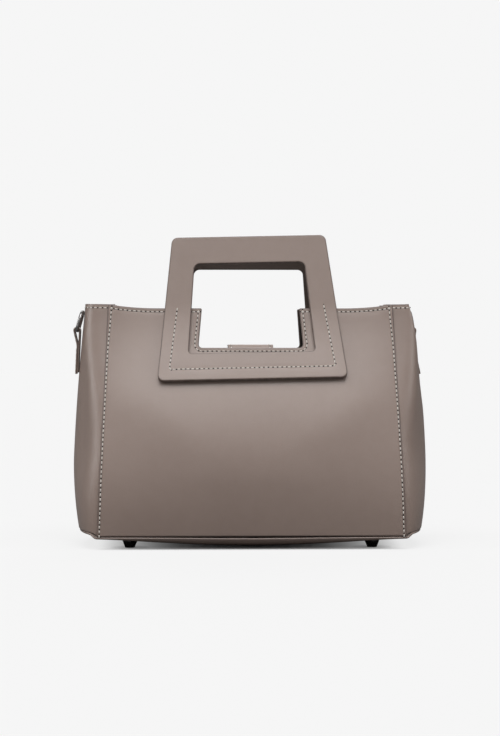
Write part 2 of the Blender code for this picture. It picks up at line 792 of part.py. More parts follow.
def tab_hinge_place():
    clearance = LEATHER + LINING + TAB_ANCHOR + 3.0 * GAP
    return Vector((0.0, middle_at_height(TAB_HINGE_HEIGHT, clearance), TAB_HINGE_HEIGHT))


def tab_path(depth):
    # The upper face of the tab from its hinge over the crown to its end, and layers below it.
    stack = LEATHER + LINING + PATCH_THICKNESS + 3.0 * GAP
    hinge_y = tab_hinge_place().y
    rise = TAB_CROWN_HEIGHT - (TAB_HINGE_HEIGHT + 2.0 * TAB_LAYER + GAP)
    bend_y = -middle_at_height(TAB_HINGE_HEIGHT, stack) + TAB_BEND_RADIUS
    bend_z = TAB_CROWN_HEIGHT - TAB_BEND_RADIUS
    path = []
    crown_steps = 5
    for step in range(crown_steps + 1):
        y = mix(hinge_y - GAP, bend_y, step / crown_steps)
        fallen = rise * (max(y, 0.0) / hinge_y) ** 2
        path.append(Vector((y, TAB_CROWN_HEIGHT - fallen)))
    narrowing = middle_at_height(TAB_END_HEIGHT, stack) - middle_at_height(bend_z, stack)
    lean = math.atan(narrowing / (bend_z - TAB_END_HEIGHT))
    bend_steps = 4
    for step in range(1, bend_steps + 1):
        angle = (math.pi / 2.0 - lean) * step / bend_steps
        place = (bend_y - TAB_BEND_RADIUS * math.sin(angle), bend_z + TAB_BEND_RADIUS * math.cos(angle))
        path.append(Vector(place))
    leg_top = path[-1].y
    leg_steps = 3
    for step in range(1, leg_steps + 1):
        z = mix(leg_top, TAB_END_HEIGHT, step / leg_steps)
        path.append(Vector((-middle_at_height(z, stack), z)))
    return offset_path(path, depth)


def offset_path(path, depth):
    # The path moved by this depth to its left-hand side, as seen while walking along it.
    moved = []
    for index, point in enumerate(path):
        before = path[max(index - 1, 0)]
        after = path[min(index + 1, len(path) - 1)]
        along = (after - before).normalized()
        moved.append(point + Vector((-along.y, along.x)) * depth)
    return moved


def strap_mesh(name, path, half_width_of_strap, place_at):
    # A strip of faces along a path, wide in the third direction.
    def point_at(column_share, row_share):
        index = round(column_share * (len(path) - 1))
        return place_at(path[index], mix(-half_width_of_strap, half_width_of_strap, row_share))

    return grid_mesh(name, point_at, len(path) - 1, 2)


def tab_place(point, across):
    return Vector((across, point.x, point.y))


def closure(front_hinge, back_hinge):
    hinge_place = tab_hinge_place()
    tab_hinge = hinge("closure_hinge", hinge_place, back_hinge)
    face = strap_mesh("closure_tab_face", tab_path(0.0), TAB_HALF_WIDTH, tab_place)
    thicken(add("closure_tab_face", face, "leather", tab_hinge), TAB_LAYER)
    under = strap_mesh("closure_tab_backing", tab_path(TAB_LAYER + GAP), TAB_HALF_WIDTH, tab_place)
    backing = add("closure_tab_backing", under, "leather", tab_hinge)
    thicken(backing, TAB_LAYER)

    anchor_depth = LEATHER + LINING + 2.0 * GAP

    def anchor_at(column_share, row_share):
        z = mix(ANCHOR_BOTTOM_HEIGHT, TAB_HINGE_HEIGHT - 2.0 * GAP, row_share)
        return panel_point(mix(-TAB_HALF_WIDTH, TAB_HALF_WIDTH, column_share), z, anchor_depth)

    anchor = turned(grid_mesh("closure_anchor", anchor_at, 4, 4))
    thicken(add("closure_anchor", anchor, "leather", back_hinge), TAB_ANCHOR)

    patch_depth = LEATHER + LINING + 2.0 * GAP

    def patch_at(column_share, row_share):
        z = magnet_height() + mix(-PATCH_HALF_HEIGHT, PATCH_HALF_HEIGHT, row_share)
        return panel_point(mix(-PATCH_HALF_WIDTH, PATCH_HALF_WIDTH, column_share), z, patch_depth)

    patch = add("magnet_patch", grid_mesh("magnet_patch", patch_at, 4, 4), "leather", front_hinge)
    thicken(patch, PATCH_THICKNESS)
    magnet_seat(patch, patch_depth, "front_magnet", front_hinge)
    backing_depth = LEATHER + LINING + PATCH_THICKNESS + 4.0 * GAP + TAB_LAYER
    magnet_seat(backing, backing_depth, "tab_magnet", tab_hinge)


def magnet_height():
    return TAB_END_HEIGHT + MAGNET_RISE


def magnet_seat(holder, depth, name, carrier):
    # A disc magnet laid into a pocket that opens on the holder's outer face.
    center = panel_point(0.0, magnet_height(), depth)
    inward = (panel_point(0.0, magnet_height(), depth + LEATHER) - center).normalized()
    rim = [panel_point(0.0, magnet_height() + reach, depth) for reach in (-MAGNET_RADIUS, MAGNET_RADIUS)]
    center += inward * max((rim[0].lerp(rim[1], 0.5) - center).dot(inward), 0.0)
    standing = Vector((0.0, 0.0, 1.0)).rotation_difference(inward).to_matrix().to_4x4()
    room = MAGNET_THICKNESS + GAP
    wide = MAGNET_RADIUS + GAP
    pocket = turned_mesh(name + "_pocket", ((0.0, -OVERRUN), (wide, -OVERRUN), (wide, room), (0.0, room)), 20)
    pocket.transform(Matrix.Translation(center) @ standing)
    cut(holder, add(name + "_pocket_cutter", pocket, "steel"))
    rim = ((MAGNET_RADIUS, 0.0), (MAGNET_RADIUS, MAGNET_THICKNESS))
    disc = turned_mesh(name, ((0.0, 0.0), *rim, (0.0, MAGNET_THICKNESS)), 20)
    disc.transform(Matrix.Translation(center) @ standing)
    add(name, disc, "steel", carrier)


def ring_bar_reach(gusset):
    # How far out the bar of the D-ring lies: over the gusset, the folded leather and the wire.
    surface = gusset_section(gusset, RING_BAR_HEIGHT, 0.0).x
    return surface + gusset["stand_off"] + 2.0 * GAP + RING_TAB_LEATHER + RING_WIRE_RADIUS


def ring_lean(gusset):
    # The ring leans in until its far side lies against the gusset.
    bar = ring_bar_reach(gusset)
    lean = 0.0
    rounds = 12
    for _ in range(rounds):
        height = RING_BAR_HEIGHT + RING_REACH * math.cos(lean)
        surface = gusset_section(gusset, min(height, PANEL_TOP_HEIGHT), 0.0).x
        room = bar - surface - RING_WIRE_RADIUS - GAP
        lean = math.asin(min(max(room / RING_REACH, 0.0), 1.0))
    return lean


def ring_tab_path(gusset):
    # Middle line of the folded strip, from its inner end up round the bar and down its outer side.
    def against(z, offset):
        climbed = (z - RING_TAB_BOTTOM_HEIGHT) / (RING_BAR_HEIGHT - RING_TAB_BOTTOM_HEIGHT)
        return gusset_section(gusset, z, 0.0).x + gusset["stand_off"] * climbed + offset

    inner_offset = GAP + RING_TAB_LEATHER / 2.0
    outer_offset = inner_offset + RING_TAB_LEATHER + GAP
    bar = ring_bar_reach(gusset)
    radius = RING_WIRE_RADIUS + GAP + RING_TAB_LEATHER / 2.0
    waist = RING_BAR_HEIGHT - RING_TAB_TAPER_LENGTH
    path = []
    steps = 4
    for step in range(steps + 1):
        z = mix(RING_TAB_BOTTOM_HEIGHT + RING_TAB_LEATHER, waist, step / steps)
        path.append(Vector((against(z, inner_offset), z)))
    arc = 8
    for step in range(arc + 1):
        angle = math.pi - math.pi * step / arc
        path.append(Vector((bar + radius * math.cos(angle), RING_BAR_HEIGHT + radius * math.sin(angle))))
    for step in range(steps + 1):
        z = mix(waist, RING_TAB_BOTTOM_HEIGHT, step / steps)
        path.append(Vector((against(z, outer_offset), z)))
    return path


def ring_mesh_curve(name):
    corners = [
        (-RING_HALF_WIDTH, 0.0, RING_CORNER_RADIUS),
        (RING_HALF_WIDTH, 0.0, RING_CORNER_RADIUS),
        (RING_HALF_WIDTH, RING_REACH, RING_ARCH_RADIUS),
        (-RING_HALF_WIDTH, RING_REACH, RING_ARCH_RADIUS),
    ]
    outline = rounded_outline(corners, 5, 2)
    curve = bpy.data.curves.new(name, "CURVE")
    curve.dimensions = "3D"
    spline = curve.splines.new("POLY")
    spline.points.add(len(outline) - 1)
    for point, place in zip(spline.points, outline):
        point.co = (0.0, place.x, place.y, 1.0)
    spline.use_cyclic_u = True
    curve.bevel_depth = RING_WIRE_RADIUS
    curve.bevel_resolution = 2
    return curve


def rings():
    for side, gusset, outward in (("left", LEFT_GUSSET, -1.0), ("right", RIGHT_GUSSET, 1.0)):

        def tab_at(point, across, outward=outward):
            return Vector((outward * point.x, outward * across, point.y))

        path = offset_path(ring_tab_path(gusset), RING_TAB_LEATHER / 2.0)
        strap = strap_mesh(side + "_ring_tab", path, RING_TAB_HALF_WIDTH, tab_at)
        thicken(add(side + "_ring_tab", strap, "leather"), RING_TAB_LEATHER)

        curve = ring_mesh_curve(side + "_d_ring")
        curve.materials.append(material("gunmetal"))
        ring = bpy.data.objects.new(side + "_d_ring", curve)
        bpy.context.scene.collection.objects.link(ring)
        ring.location = (outward * ring_bar_reach(gusset), 0.0, RING_BAR_HEIGHT)
        ring.rotation_euler = (0.0, -outward * ring_lean(gusset), 0.0)


def build():
    clear_scene()
    front_hinge = hinge("front_hinge", Vector((0.0, -BOTTOM_HALF_DEPTH, PANEL_BOTTOM_HEIGHT)))
    back_hinge = hinge("back_hinge", Vector((0.0, BOTTOM_HALF_DEPTH, PANEL_BOTTOM_HEIGHT)))
    panels(front_hinge, back_hinge)
    gussets()
    base()
    feet()
    handles(front_hinge, back_hinge)
    closure(front_hinge, back_hinge)
    rings()


build()
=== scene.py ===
import math

import bmesh
import bpy
import numpy as np
from mathutils import Matrix, Vector
from mathutils.geometry import delaunay_2d_cdt


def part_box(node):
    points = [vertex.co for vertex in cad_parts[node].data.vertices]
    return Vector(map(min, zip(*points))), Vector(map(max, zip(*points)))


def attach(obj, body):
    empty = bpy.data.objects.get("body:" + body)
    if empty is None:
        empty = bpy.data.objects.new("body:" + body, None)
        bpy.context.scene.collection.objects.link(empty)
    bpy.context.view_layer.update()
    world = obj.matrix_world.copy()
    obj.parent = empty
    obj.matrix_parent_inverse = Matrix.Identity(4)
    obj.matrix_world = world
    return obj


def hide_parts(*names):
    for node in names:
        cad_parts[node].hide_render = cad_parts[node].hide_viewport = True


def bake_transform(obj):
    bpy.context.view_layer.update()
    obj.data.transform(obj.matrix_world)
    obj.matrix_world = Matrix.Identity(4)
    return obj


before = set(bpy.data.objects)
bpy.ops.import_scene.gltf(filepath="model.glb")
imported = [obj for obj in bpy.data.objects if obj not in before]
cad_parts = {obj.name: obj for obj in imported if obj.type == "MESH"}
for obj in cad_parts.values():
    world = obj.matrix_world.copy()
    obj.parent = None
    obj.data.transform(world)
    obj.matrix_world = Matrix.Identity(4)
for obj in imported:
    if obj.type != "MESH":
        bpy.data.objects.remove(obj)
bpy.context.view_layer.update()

print("frame loaded:", len(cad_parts), "nodes")


# The bag's form: the same sizes as the solids, in metres
bagForm = {
    "leather": 0.0018,
    "lining": 0.0008,
    "gap": 0.0003,
    "bottomHeight": 0.011,
    "topHeight": 0.2030,
    "topDip": 0.0032,
    "bottomHalfWidth": 0.1275,
    "topHalfWidth": 0.120,
    "bottomHalfDepth": 0.062,
    "topHalfDepth": 0.0175,
    "seamTopHalfDepth": 0.021,
    "bellyHeight": 0.055,
    "footSlope": math.tan(math.radians(8.0)),
    "handleSlope": 0.0139 / 0.0570,
    "seamBellyHeight": 0.032,
    "seamFootSlope": math.tan(math.radians(4.0)),
    "seamSlope": math.tan(math.radians(11.0)),
    "flatFrom": 0.060,
    "flatTo": 0.132,
    "flatShare": 0.66,
}
liningEdge = 0.0003      # the rounded edge of a lining
liningRoom = 0.00005     # the room between a leather and its lining
hair = 0.00002           # how far a stitch row lies off its leather
probe = 0.0004           # half the distance over which a slope is measured
normalProbe = 0.001      # the distance over which the direction into or out of a sheet is measured
quarter = math.pi / 2.0


def mix(start, end, share):
    return start + (end - start) * share


def shareOf(value, start, end):
    return (value - start) / (end - start)


def smooth(share):
    held = min(max(share, 0.0), 1.0)
    return held * held * (3.0 - 2.0 * held)


def shares(steps, first=0):
    return [step / steps for step in range(first, steps + 1)]


def pairs(loop):
    return zip(loop, loop[1:] + loop[:1])


def neighbours(loop):
    return zip(loop[-1:] + loop[:-1], loop, loop[1:] + loop[:1])


def hermite(share, start, end, startRise, endRise):
    square = share * share
    cube = square * share
    return ((2.0 * cube - 3.0 * square + 1.0) * start + (cube - 2.0 * square + share) * startRise
            + (3.0 * square - 2.0 * cube) * end + (cube - square) * endRise)


def halfWidth(z):
    share = shareOf(z, bagForm["bottomHeight"], bagForm["topHeight"])
    return mix(bagForm["bottomHalfWidth"], bagForm["topHalfWidth"], share)


def sideWeight(x, z):
    # 0 in the flat middle of a panel and 1 at its side seam
    across = min(abs(x) / halfWidth(z), 1.0)
    flat = bagForm["flatShare"] * smooth(shareOf(z, bagForm["flatFrom"], bagForm["flatTo"]))
    return max(0.0, shareOf(across, flat, 1.0)) ** 2


def uprightProfile(z, bellyHeight, footSlope, topHalfDepth, leanSlope):
    # Half depth at a height: out from the foot to the belly, in to the top, then straight on
    low, top, foot = bagForm["bottomHeight"], bagForm["topHeight"], bagForm["bottomHalfDepth"]
    footRise, lean = (bellyHeight - low) * footSlope, (bellyHeight - top) * leanSlope
    belly = foot + footRise / 2.0
    if z < bellyHeight:
        return hermite(shareOf(z, low, bellyHeight), foot, belly, footRise, 0.0)
    if z < top:
        return hermite(shareOf(z, bellyHeight, top), belly, topHalfDepth, 0.0, lean)
    return topHalfDepth - (z - top) * leanSlope


def panelDepth(x, z):
    # How far the panel's outer face lies before the middle of the bag
    form = bagForm
    middle = uprightProfile(z, form["bellyHeight"], form["footSlope"], form["topHalfDepth"],
                            form["handleSlope"])
    seam = uprightProfile(z, form["seamBellyHeight"], form["seamFootSlope"], form["seamTopHalfDepth"],
                          form["seamSlope"])
    return mix(middle, seam, sideWeight(x, z))


def upSlope(x, z):
    return (panelDepth(x, z + probe) - panelDepth(x, z - probe)) / (2.0 * probe)


def panelPlace(point, depth):
    # A point of the (across, up) drawing laid on the front panel, at a depth behind its outer face
    x, z = point
    acrossSlope = (panelDepth(x + probe, z) - panelDepth(x - probe, z)) / (2.0 * probe)
    inward = Vector((acrossSlope, 1.0, upSlope(x, z))).normalized()
    return Vector((x, -panelDepth(x, z), z)) + inward * depth


def backPlace(point, depth):
    # The same drawing on the back panel: half a turn about the upright axis
    place = panelPlace(point, depth)
    return Vector((-place.x, -place.y, place.z))


def topEdge(x):
    return bagForm["topHeight"] - bagForm["topDip"] * (1.0 - sideWeight(x, bagForm["topHeight"]))


bagSides = (("front", panelPlace, "front_side"), ("back", backPlace, "back_side"))


# Outlines drawn flat, counter-clockwise, as lists of 2D points

def roundedOutline(corners, arcSteps, sideStep):
    # Corners are (across, up, radius). Sides get points about sideStep apart.
    arcs = []
    for index, (across, up, radius) in enumerate(corners):
        here = Vector((across, up))
        if radius == 0.0:
            arcs.append([here])
            continue
        before = (Vector(corners[index - 1][:2]) - here).normalized()
        after = (Vector(corners[(index + 1) % len(corners)][:2]) - here).normalized()
        halfAngle = before.angle(after) / 2.0
        center = here + (before + after).normalized() * (radius / math.sin(halfAngle))
        start = here + before * (radius / math.tan(halfAngle)) - center
        sweep = math.pi - 2.0 * halfAngle
        if before.cross(after) > 0.0:
            sweep = -sweep
        turns = [sweep * step / arcSteps for step in range(arcSteps + 1)]
        arcs.append([center + Matrix.Rotation(turn, 2) @ start for turn in turns])
    outline = []
    for arc, following in pairs(arcs):
        sideSteps = max(1, round((following[0] - arc[-1]).length / sideStep))
        outline += arc + [arc[-1].lerp(following[0], share) for share in shares(sideSteps, 1)[:-1]]
    return outline


def trapezium(lowHalf, low, lowRadius, highHalf, high, highRadius):
    return [(-lowHalf, low, lowRadius), (lowHalf, low, lowRadius),
            (highHalf, high, highRadius), (-highHalf, high, highRadius)]


def resampled(points, step):
    # The same open line with points about one step apart
    out = [points[0]]
    for start, end in zip(points, points[1:]):
        out += [start.lerp(end, share) for share in shares(max(1, round((end - start).length / step)), 1)]
    return out


def insetLoop(loop, distance):
    # Every point moved to the left of the way of travel, into the material
    moved = []
    for last, point, following in neighbours(loop):
        before, after = (point - last).normalized(), (following - point).normalized()
        normal = Vector((-before.y - after.y, before.x + after.x)).normalized()
        stretch = 1.0 / max(normal.dot(Vector((-after.y, after.x))), 0.5)
        moved.append(point + normal * distance * stretch)
    return moved


def insideLoop(points, loop):
    # Even-odd test of many points against one closed loop
    inside = np.zeros(len(points), bool)
    x, y = points[:, 0], points[:, 1]
    for a, b in pairs(loop):
        if a.y != b.y:
            inside ^= ((a.y > y) != (b.y > y)) & (x < (b.x - a.x) * (y - a.y) / (b.y - a.y) + a.x)
    return inside


def between(points, loops):
    # Inside the first loop and outside the others
    inside = insideLoop(points, loops[0])
    for loop in loops[1:]:
        inside &= ~insideLoop(points, loop)
    return inside


def distanceToLoop(points, loop):
    nearest = np.full(len(points), 1.0)
    for start, end in pairs(loop):
        a = np.array(start)
        along = np.array(end) - a
        share = np.clip(((points - a) @ along) / max(float(along @ along), 1e-12), 0.0, 1.0)
        nearest = np.minimum(nearest, np.linalg.norm(points - a - share[:, None] * along, axis=1))
    return nearest


def layeredCap(loops, edgeRadius, insets, gridStep):
    # Flat points and triangles between the loops: rows that follow the edges, and a grid within
    rings = [insetLoop(loop, edgeRadius) for loop in loops]
    coords = [point for ring in rings for point in ring]
    ends = np.cumsum([len(ring) for ring in rings])
    spans = [list(range(end - len(ring), end)) for end, ring in zip(ends, rings)]
    distances = [edgeRadius] * len(coords)
    for inset in insets:
        for loop in loops:
            coords += insetLoop(loop, inset)
            distances += [inset] * len(loop)
    flat = np.array([tuple(point) for point in loops[0]])
    low, high = flat.min(axis=0), flat.max(axis=0)
    columns, rows = (max(2, int(length / gridStep)) for length in high - low)
    # Every second row of the grid is shifted by half a column
    grid = np.array([(mix(low[0], high[0], (column + 0.5 * (row % 2)) / columns), mix(low[1], high[1], up))
                     for row, up in enumerate(shares(rows, 1)[:-1], 1) for column in range(columns)])
    room = insets[-1] + 0.6 * gridStep
    keep = between(grid, loops)
    for loop in loops:
        keep &= distanceToLoop(grid, loop) > room
    coords += [Vector(point) for point in grid[keep]]
    distances += [room] * int(keep.sum())
    edges = [edge for span in spans for edge in pairs(span)]
    points, _, triangles, origins, _, _ = delaunay_2d_cdt(coords, edges, [], 0, 1e-7)
    triangles = np.array([tuple(triangle) for triangle in triangles])
    middles = np.array([tuple(point) for point in points])[triangles].mean(axis=1)
    found = {source: index for index, sources in enumerate(origins) for source in sources}
    reach = [min([distances[source] for source in sources] or [room]) for sources in origins]
    rims = [[found[index] for index in span] for span in spans]
    return points, triangles[between(middles, rings)], rims, reach


# Sheets of leather, lining and board: a face, a back and rounded edges between them

def newSheet():
    # An empty form, and a way to add a vertex that knows its distance from the edge
    shape = bmesh.new()
    layer = shape.verts.layers.float.new("edgeDistance")

    def vert(place, distance):
        made = shape.verts.new(place)
        made[layer] = distance
        return made

    return shape, vert


def addFaces(shape, cells, face, back):
    for cell in cells:
        shape.faces.new([face[corner] for corner in cell]).material_index = 0
        shape.faces.new([back[corner] for corner in reversed(cell)]).material_index = 2


def bridge(shape, rows, isOpen=(), finishIndex=1):
    # Faces between rows of vertices that run around. A part that is open stays without.
    for upper, lower in zip(rows, rows[1:]):
        for index, ((start, end), (low, following)) in enumerate(zip(pairs(upper), pairs(lower))):
            corners = list(dict.fromkeys((start, low, following, end)))
            if index not in isOpen and len(corners) > 2:
                shape.faces.new(corners).material_index = finishIndex


def edgeLevels(thickness, edgeRadius, arcSteps):
    # Inset and depth of each row around a rounded edge. A full round has one row at its middle.
    turns = [quarter * step / arcSteps for step in range(1, arcSteps + 1)]
    near = [(edgeRadius * (1.0 - math.sin(turn)), edgeRadius * (1.0 - math.cos(turn))) for turn in turns]
    far = [(inset, thickness - level) for inset, level in reversed(near)]
    return near + (far[1:] if thickness - 2.0 * edgeRadius < 1e-5 else far)


def addObject(name, data):
    made = bpy.data.objects.new(name, data)
    bpy.context.scene.collection.objects.link(made)
    return made


def finishMesh(name, shape, finishes, smoothAngle=math.radians(60.0)):
    mesh = bpy.data.meshes.new(name)
    shape.to_mesh(mesh)
    shape.free()
    for finish in finishes:
        mesh.materials.append(finish)
    mesh.shade_smooth()
    mesh.set_sharp_from_angle(angle=smoothAngle)
    return addObject(name, mesh)


def finishClosed(name, shape, finishes, smoothAngle=math.radians(60.0)):
    # The same for a closed form, without loose vertices and with its faces outwards
    for lone in [vert for vert in shape.verts if not vert.link_faces]:
        shape.verts.remove(lone)
    bmesh.ops.recalc_face_normals(shape, faces=shape.faces)
    return finishMesh(name, shape, finishes, smoothAngle)


def leatherPiece(name, loops, place, depth, thickness, edgeRadius, finishes, insets, gridStep, relief=None,
                 arcSteps=3):
    # A drawn sheet laid on a surface. Finishes are face, edge and back.
    points, triangles, rims, reach = layeredCap(loops, edgeRadius, insets, gridStep)
    shape, vert = newSheet()
    face = [vert(place(point, depth + (relief(point, distance) if relief else 0.0)), distance)
            for point, distance in zip(points, reach)]
    back = [vert(place(point, depth + thickness), distance) for point, distance in zip(points, reach)]
    addFaces(shape, triangles, face, back)
    for loop, rim in zip(loops, rims):
        rows = [[face[index] for index in rim]]
        for inset, level in edgeLevels(thickness, edgeRadius, arcSteps):
            rows.append([vert(place(point, depth + level), 0.0) for point in insetLoop(loop, inset)])
        bridge(shape, rows + [[back[index] for index in rim]])
    return finishClosed(name, shape, finishes)


def sheetPiece(name, rows, thickness, edgeRadius, finishes, around=False, openColumn=None, arcSteps=3):
    # A sheet given as rows of (place, inward) pairs. Its free sides get rounded edges. A sheet that runs
    # around is closed in a middle point under its first row. An open column, 0 or -1, stays unrounded.
    shape, vert = newSheet()
    high, wide = len(rows), len(rows[0])
    openAt = None if openColumn is None else openColumn % wide
    rim = [(high - 1, column) for column in range(wide)]
    if not around:
        rim = ([(0, column) for column in range(wide)] + [(row, wide - 1) for row in range(1, high - 1)]
               + rim[::-1] + [(row, 0) for row in range(high - 2, 0, -1)])

    outwardAt = {}
    for before, spot, after in neighbours(rim):
        place, inward = rows[spot[0]][spot[1]]
        ways = []
        if not spot[1] == before[1] == openAt:
            ways.append((place - rows[before[0]][before[1]][0]).normalized())
        if not spot[1] == after[1] == openAt:
            ways.append((rows[after[0]][after[1]][0] - place).normalized())
        if not ways:
            outwardAt[spot] = Vector()
            continue
        along = sum(ways, Vector()).normalized()
        side = along.cross(inward).normalized()
        inner = rows[spot[0] - 1][spot[1]][0] if around else rows[high // 2][wide // 2][0]
        if side.dot(place - inner) < 0.0:
            side = -side
        stretch = 1.0 / max(0.6, along.dot(ways[0]))
        outwardAt[spot] = side * stretch

    def cap(level):
        made = {}
        for row in range(high):
            for column in range(wide):
                place, inward = rows[row][column]
                place = place - outwardAt.get((row, column), Vector()) * edgeRadius
                edge = min(((place - rows[spot[0]][spot[1]][0]).length for spot in
                            ((row, 0), (row, wide - 1), (0, column), (high - 1, column))
                            if spot in outwardAt and spot[1] != openAt), default=1.0)
                made[row, column] = vert(place + inward * level, edge)
        return made

    face, back = cap(0.0), cap(thickness)
    steps = [(column, (column + 1) % wide) for column in range(wide if around else wide - 1)]
    addFaces(shape, [((row, column), (row, following), (row + 1, following), (row + 1, column))
                     for row in range(high - 1) for column, following in steps], face, back)
    if around:
        for cover, level, finishIndex in ((face, 0.0, 0), (back, thickness, 2)):
            center = vert(sum((place + inward * level for place, inward in rows[0]), Vector()) / wide, 1.0)
            for column, following in steps:
                shape.faces.new((cover[0, column], cover[0, following], center)).material_index = finishIndex
    rimRows = [[face[spot] for spot in rim]]
    for inset, level in edgeLevels(thickness, edgeRadius, arcSteps):
        ring = []
        for row, column in rim:
            place, inward = rows[row][column]
            ring.append(vert(place - outwardAt[row, column] * inset + inward * level, 0.0))
        rimRows.append(ring)
    isOpen = [index for index, (spot, after) in enumerate(pairs(rim)) if spot[1] == after[1] == openAt]
    bridge(shape, rimRows + [[back[spot] for spot in rim]], isOpen)
    return finishClosed(name, shape, finishes)


def dress(piece, slotName, body=None, node=None):
    # Hides the solid that a finished piece stands for, and hangs the piece on its body
    if node:
        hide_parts(node)
    if body:
        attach(piece, body)


# Materials

def feed(tree, node, inputs):
    # Sockets are linked, and values are set
    for key, value in inputs.items():
        if isinstance(value, bpy.types.NodeSocket):
            tree.links.new(value, node.inputs[key])
        else:
            node.inputs[key].default_value = value


def addNode(tree, kind, inputs=None, result=0, **settings):
    # A node with its settings and inputs. Gives one of its outputs.
    node = tree.nodes.new(kind)
    for key, value in settings.items():
        setattr(node, key, value)
    feed(tree, node, inputs or {})
    return node.outputs[result]


def newMaterial(name):
    made = bpy.data.materials.new(name)
    made.use_nodes = True
    return made, made.node_tree, addNode(made.node_tree, "ShaderNodeTexCoord", result="Object")


def finishMaterial(made, inputs):
    feed(made.node_tree, made.node_tree.nodes["Principled BSDF"], inputs)
    return made


def opaque(color, factor=1.0):
    return (*(value * factor for value in color), 1.0)


def grey(value):
    return (value, value, value, 1.0)


def noiseNode(tree, coords, scale, detail, roughness=0.5):
    return addNode(tree, "ShaderNodeTexNoise", {"Scale": scale, "Detail": detail, "Roughness": roughness,
                                                "Vector": coords}, "Fac")


def rampNode(tree, source, *stops):
    ramp = tree.nodes.new("ShaderNodeValToRGB")
    ramp.color_ramp.interpolation = "EASE"
    for element, (position, color) in zip(ramp.color_ramp.elements, stops):
        element.position = position
        element.color = color
    feed(tree, ramp, {"Fac": source})
    return ramp.outputs["Color"]


def rangeNode(tree, source, fromLow, fromHigh, toLow, toHigh):
    return addNode(tree, "ShaderNodeMapRange", {"From Min": fromLow, "From Max": fromHigh, "To Min": toLow,
                                                "To Max": toHigh, "Value": source}, "Result")


def bumpNode(tree, height, strength, distance, before=None):
    inputs = {"Strength": strength, "Distance": distance, "Height": height}
    return addNode(tree, "ShaderNodeBump", {**inputs, "Normal": before} if before else inputs, "Normal")


def mixColor(tree, kind, share, first, second):
    return addNode(tree, "ShaderNodeMix", {"Factor": share, "A": first, "B": second}, "Result",
                   data_type="RGBA", blend_type=kind)


leatherLook = {
    "color": (0.328, 0.246, 0.210),
    "deep": (0.314, 0.234, 0.199),
    # the colour near edges: edge wear, and painted shade along the edges
    "edge": (0.125, 0.092, 0.080),
    "mottle": (0.965, 0.960, 0.957),
    "cloudScale": 16.0,
    "mottleScale": 130.0,
    "wobbleScale": 420.0,
    "wobble": 0.0009,
    "roughness": 0.32,
    "specular": 0.78,
    "grainScale": 1150.0,
    "grainHeight": 0.00007,
    "creaseHeight": 0.00035,
    "creaseWidth": 0.16,
    "creaseShadeShare": 0.14,
    "creaseShade": 0.72,
    "roughnessSpan": 0.03,
    "wearAndShadeWidth": 0.0016,
    "wearAndShadeShare": 0.42,
}


def leatherMaterial(name, tint=1.0, wearAndShade=1.0):
    look = leatherLook
    made, tree, coords = newMaterial(name)
    cloudy = noiseNode(tree, coords, look["cloudScale"], 4.0, 0.55)
    mottled = noiseNode(tree, coords, look["mottleScale"], 3.0, 0.6)
    shift = addNode(tree, "ShaderNodeTexNoise", {"Scale": look["wobbleScale"], "Vector": coords}, "Color")
    wobbled = addNode(tree, "ShaderNodeVectorMath", {0: shift, 1: (look["wobble"],) * 3, 2: coords},
                      operation="MULTIPLY_ADD")
    pores = addNode(tree, "ShaderNodeTexVoronoi", {"Scale": look["grainScale"], "Randomness": 0.95,
                                                   "Vector": wobbled}, "Distance", feature="DISTANCE_TO_EDGE")
    creases = rangeNode(tree, pores, 0.0, look["creaseWidth"], 0.0, 1.0)
    deep = opaque(look["deep"], tint)
    base = rampNode(tree, cloudy, (0.30, deep), (0.62, opaque(look["color"], tint)))
    base = mixColor(tree, "MULTIPLY", 0.5, base,
                    rampNode(tree, mottled, (0.35, opaque(look["mottle"])), (0.65, grey(1.0))))
    # Painted shade in the grain's creases: the deep tone, darkened
    base = mixColor(tree, "MIX", rangeNode(tree, creases, 0.0, 1.0, look["creaseShadeShare"], 0.0), base,
                    opaque(deep[:3], look["creaseShade"]))
    # Darker towards every edge: edge wear, and painted shade along the edges
    edge = addNode(tree, "ShaderNodeAttribute", result="Fac", attribute_name="edgeDistance")
    nearEdge = rangeNode(tree, edge, 0.0, look["wearAndShadeWidth"], look["wearAndShadeShare"] * wearAndShade, 0.0)
    rough, span = look["roughness"], look["roughnessSpan"]
    normal = bumpNode(tree, cloudy, 0.35, look["creaseHeight"])
    normal = bumpNode(tree, mottled, 0.30, look["grainHeight"] * 1.6, normal)
    return finishMaterial(made, {
        "Base Color": mixColor(tree, "MIX", nearEdge, base, opaque(look["edge"])),
        "Roughness": rangeNode(tree, mottled, 0.3, 0.7, rough - span, rough + span),
        "Specular IOR Level": look["specular"],
        "Normal": bumpNode(tree, creases, 0.55, look["grainHeight"], normal),
    })


def grainMaterial(name, dark, light, scale, detail, roughness, bump, height):
    # One fine grain: the paint on cut edges, and the strands of thread
    made, tree, coords = newMaterial(name)
    grain = noiseNode(tree, coords, scale, detail)
    return finishMaterial(made, {
        "Base Color": rampNode(tree, grain, (0.3, opaque(dark)), (0.7, opaque(light))),
        "Roughness": roughness,
        "Normal": bumpNode(tree, grain, bump, height),
    })


suedeLook = {
    "brushScale": 45.0,
    "shade": 0.6,
    "shadeShare": 0.35,
    "roughness": 0.92,
    "napHeight": 0.00015,
}


def suedeMaterial(name, light, dark, scale, sheen=0.25):
    look = suedeLook
    made, tree, coords = newMaterial(name)
    nap = noiseNode(tree, coords, scale, 5.0, 0.7)
    brushed = noiseNode(tree, coords, look["brushScale"], 3.0, 0.6)
    base = rampNode(tree, brushed, (0.3, opaque(dark)), (0.7, opaque(light)))
    return finishMaterial(made, {
        "Base Color": mixColor(tree, "MULTIPLY", look["shadeShare"], base,
                               rampNode(tree, nap, (0.3, grey(look["shade"])), (0.7, grey(1.0)))),
        "Roughness": look["roughness"],
        "Sheen Weight": sheen,
        "Sheen Roughness": 0.5,
        "Normal": bumpNode(tree, nap, 0.6, look["napHeight"]),
    })


metalLook = {
    "hazeScale": 380.0,
    "hazeShade": 0.86,
    "hazeHeight": 0.00005,
    "smoother": 0.05,
    "rougher": 0.08,
}


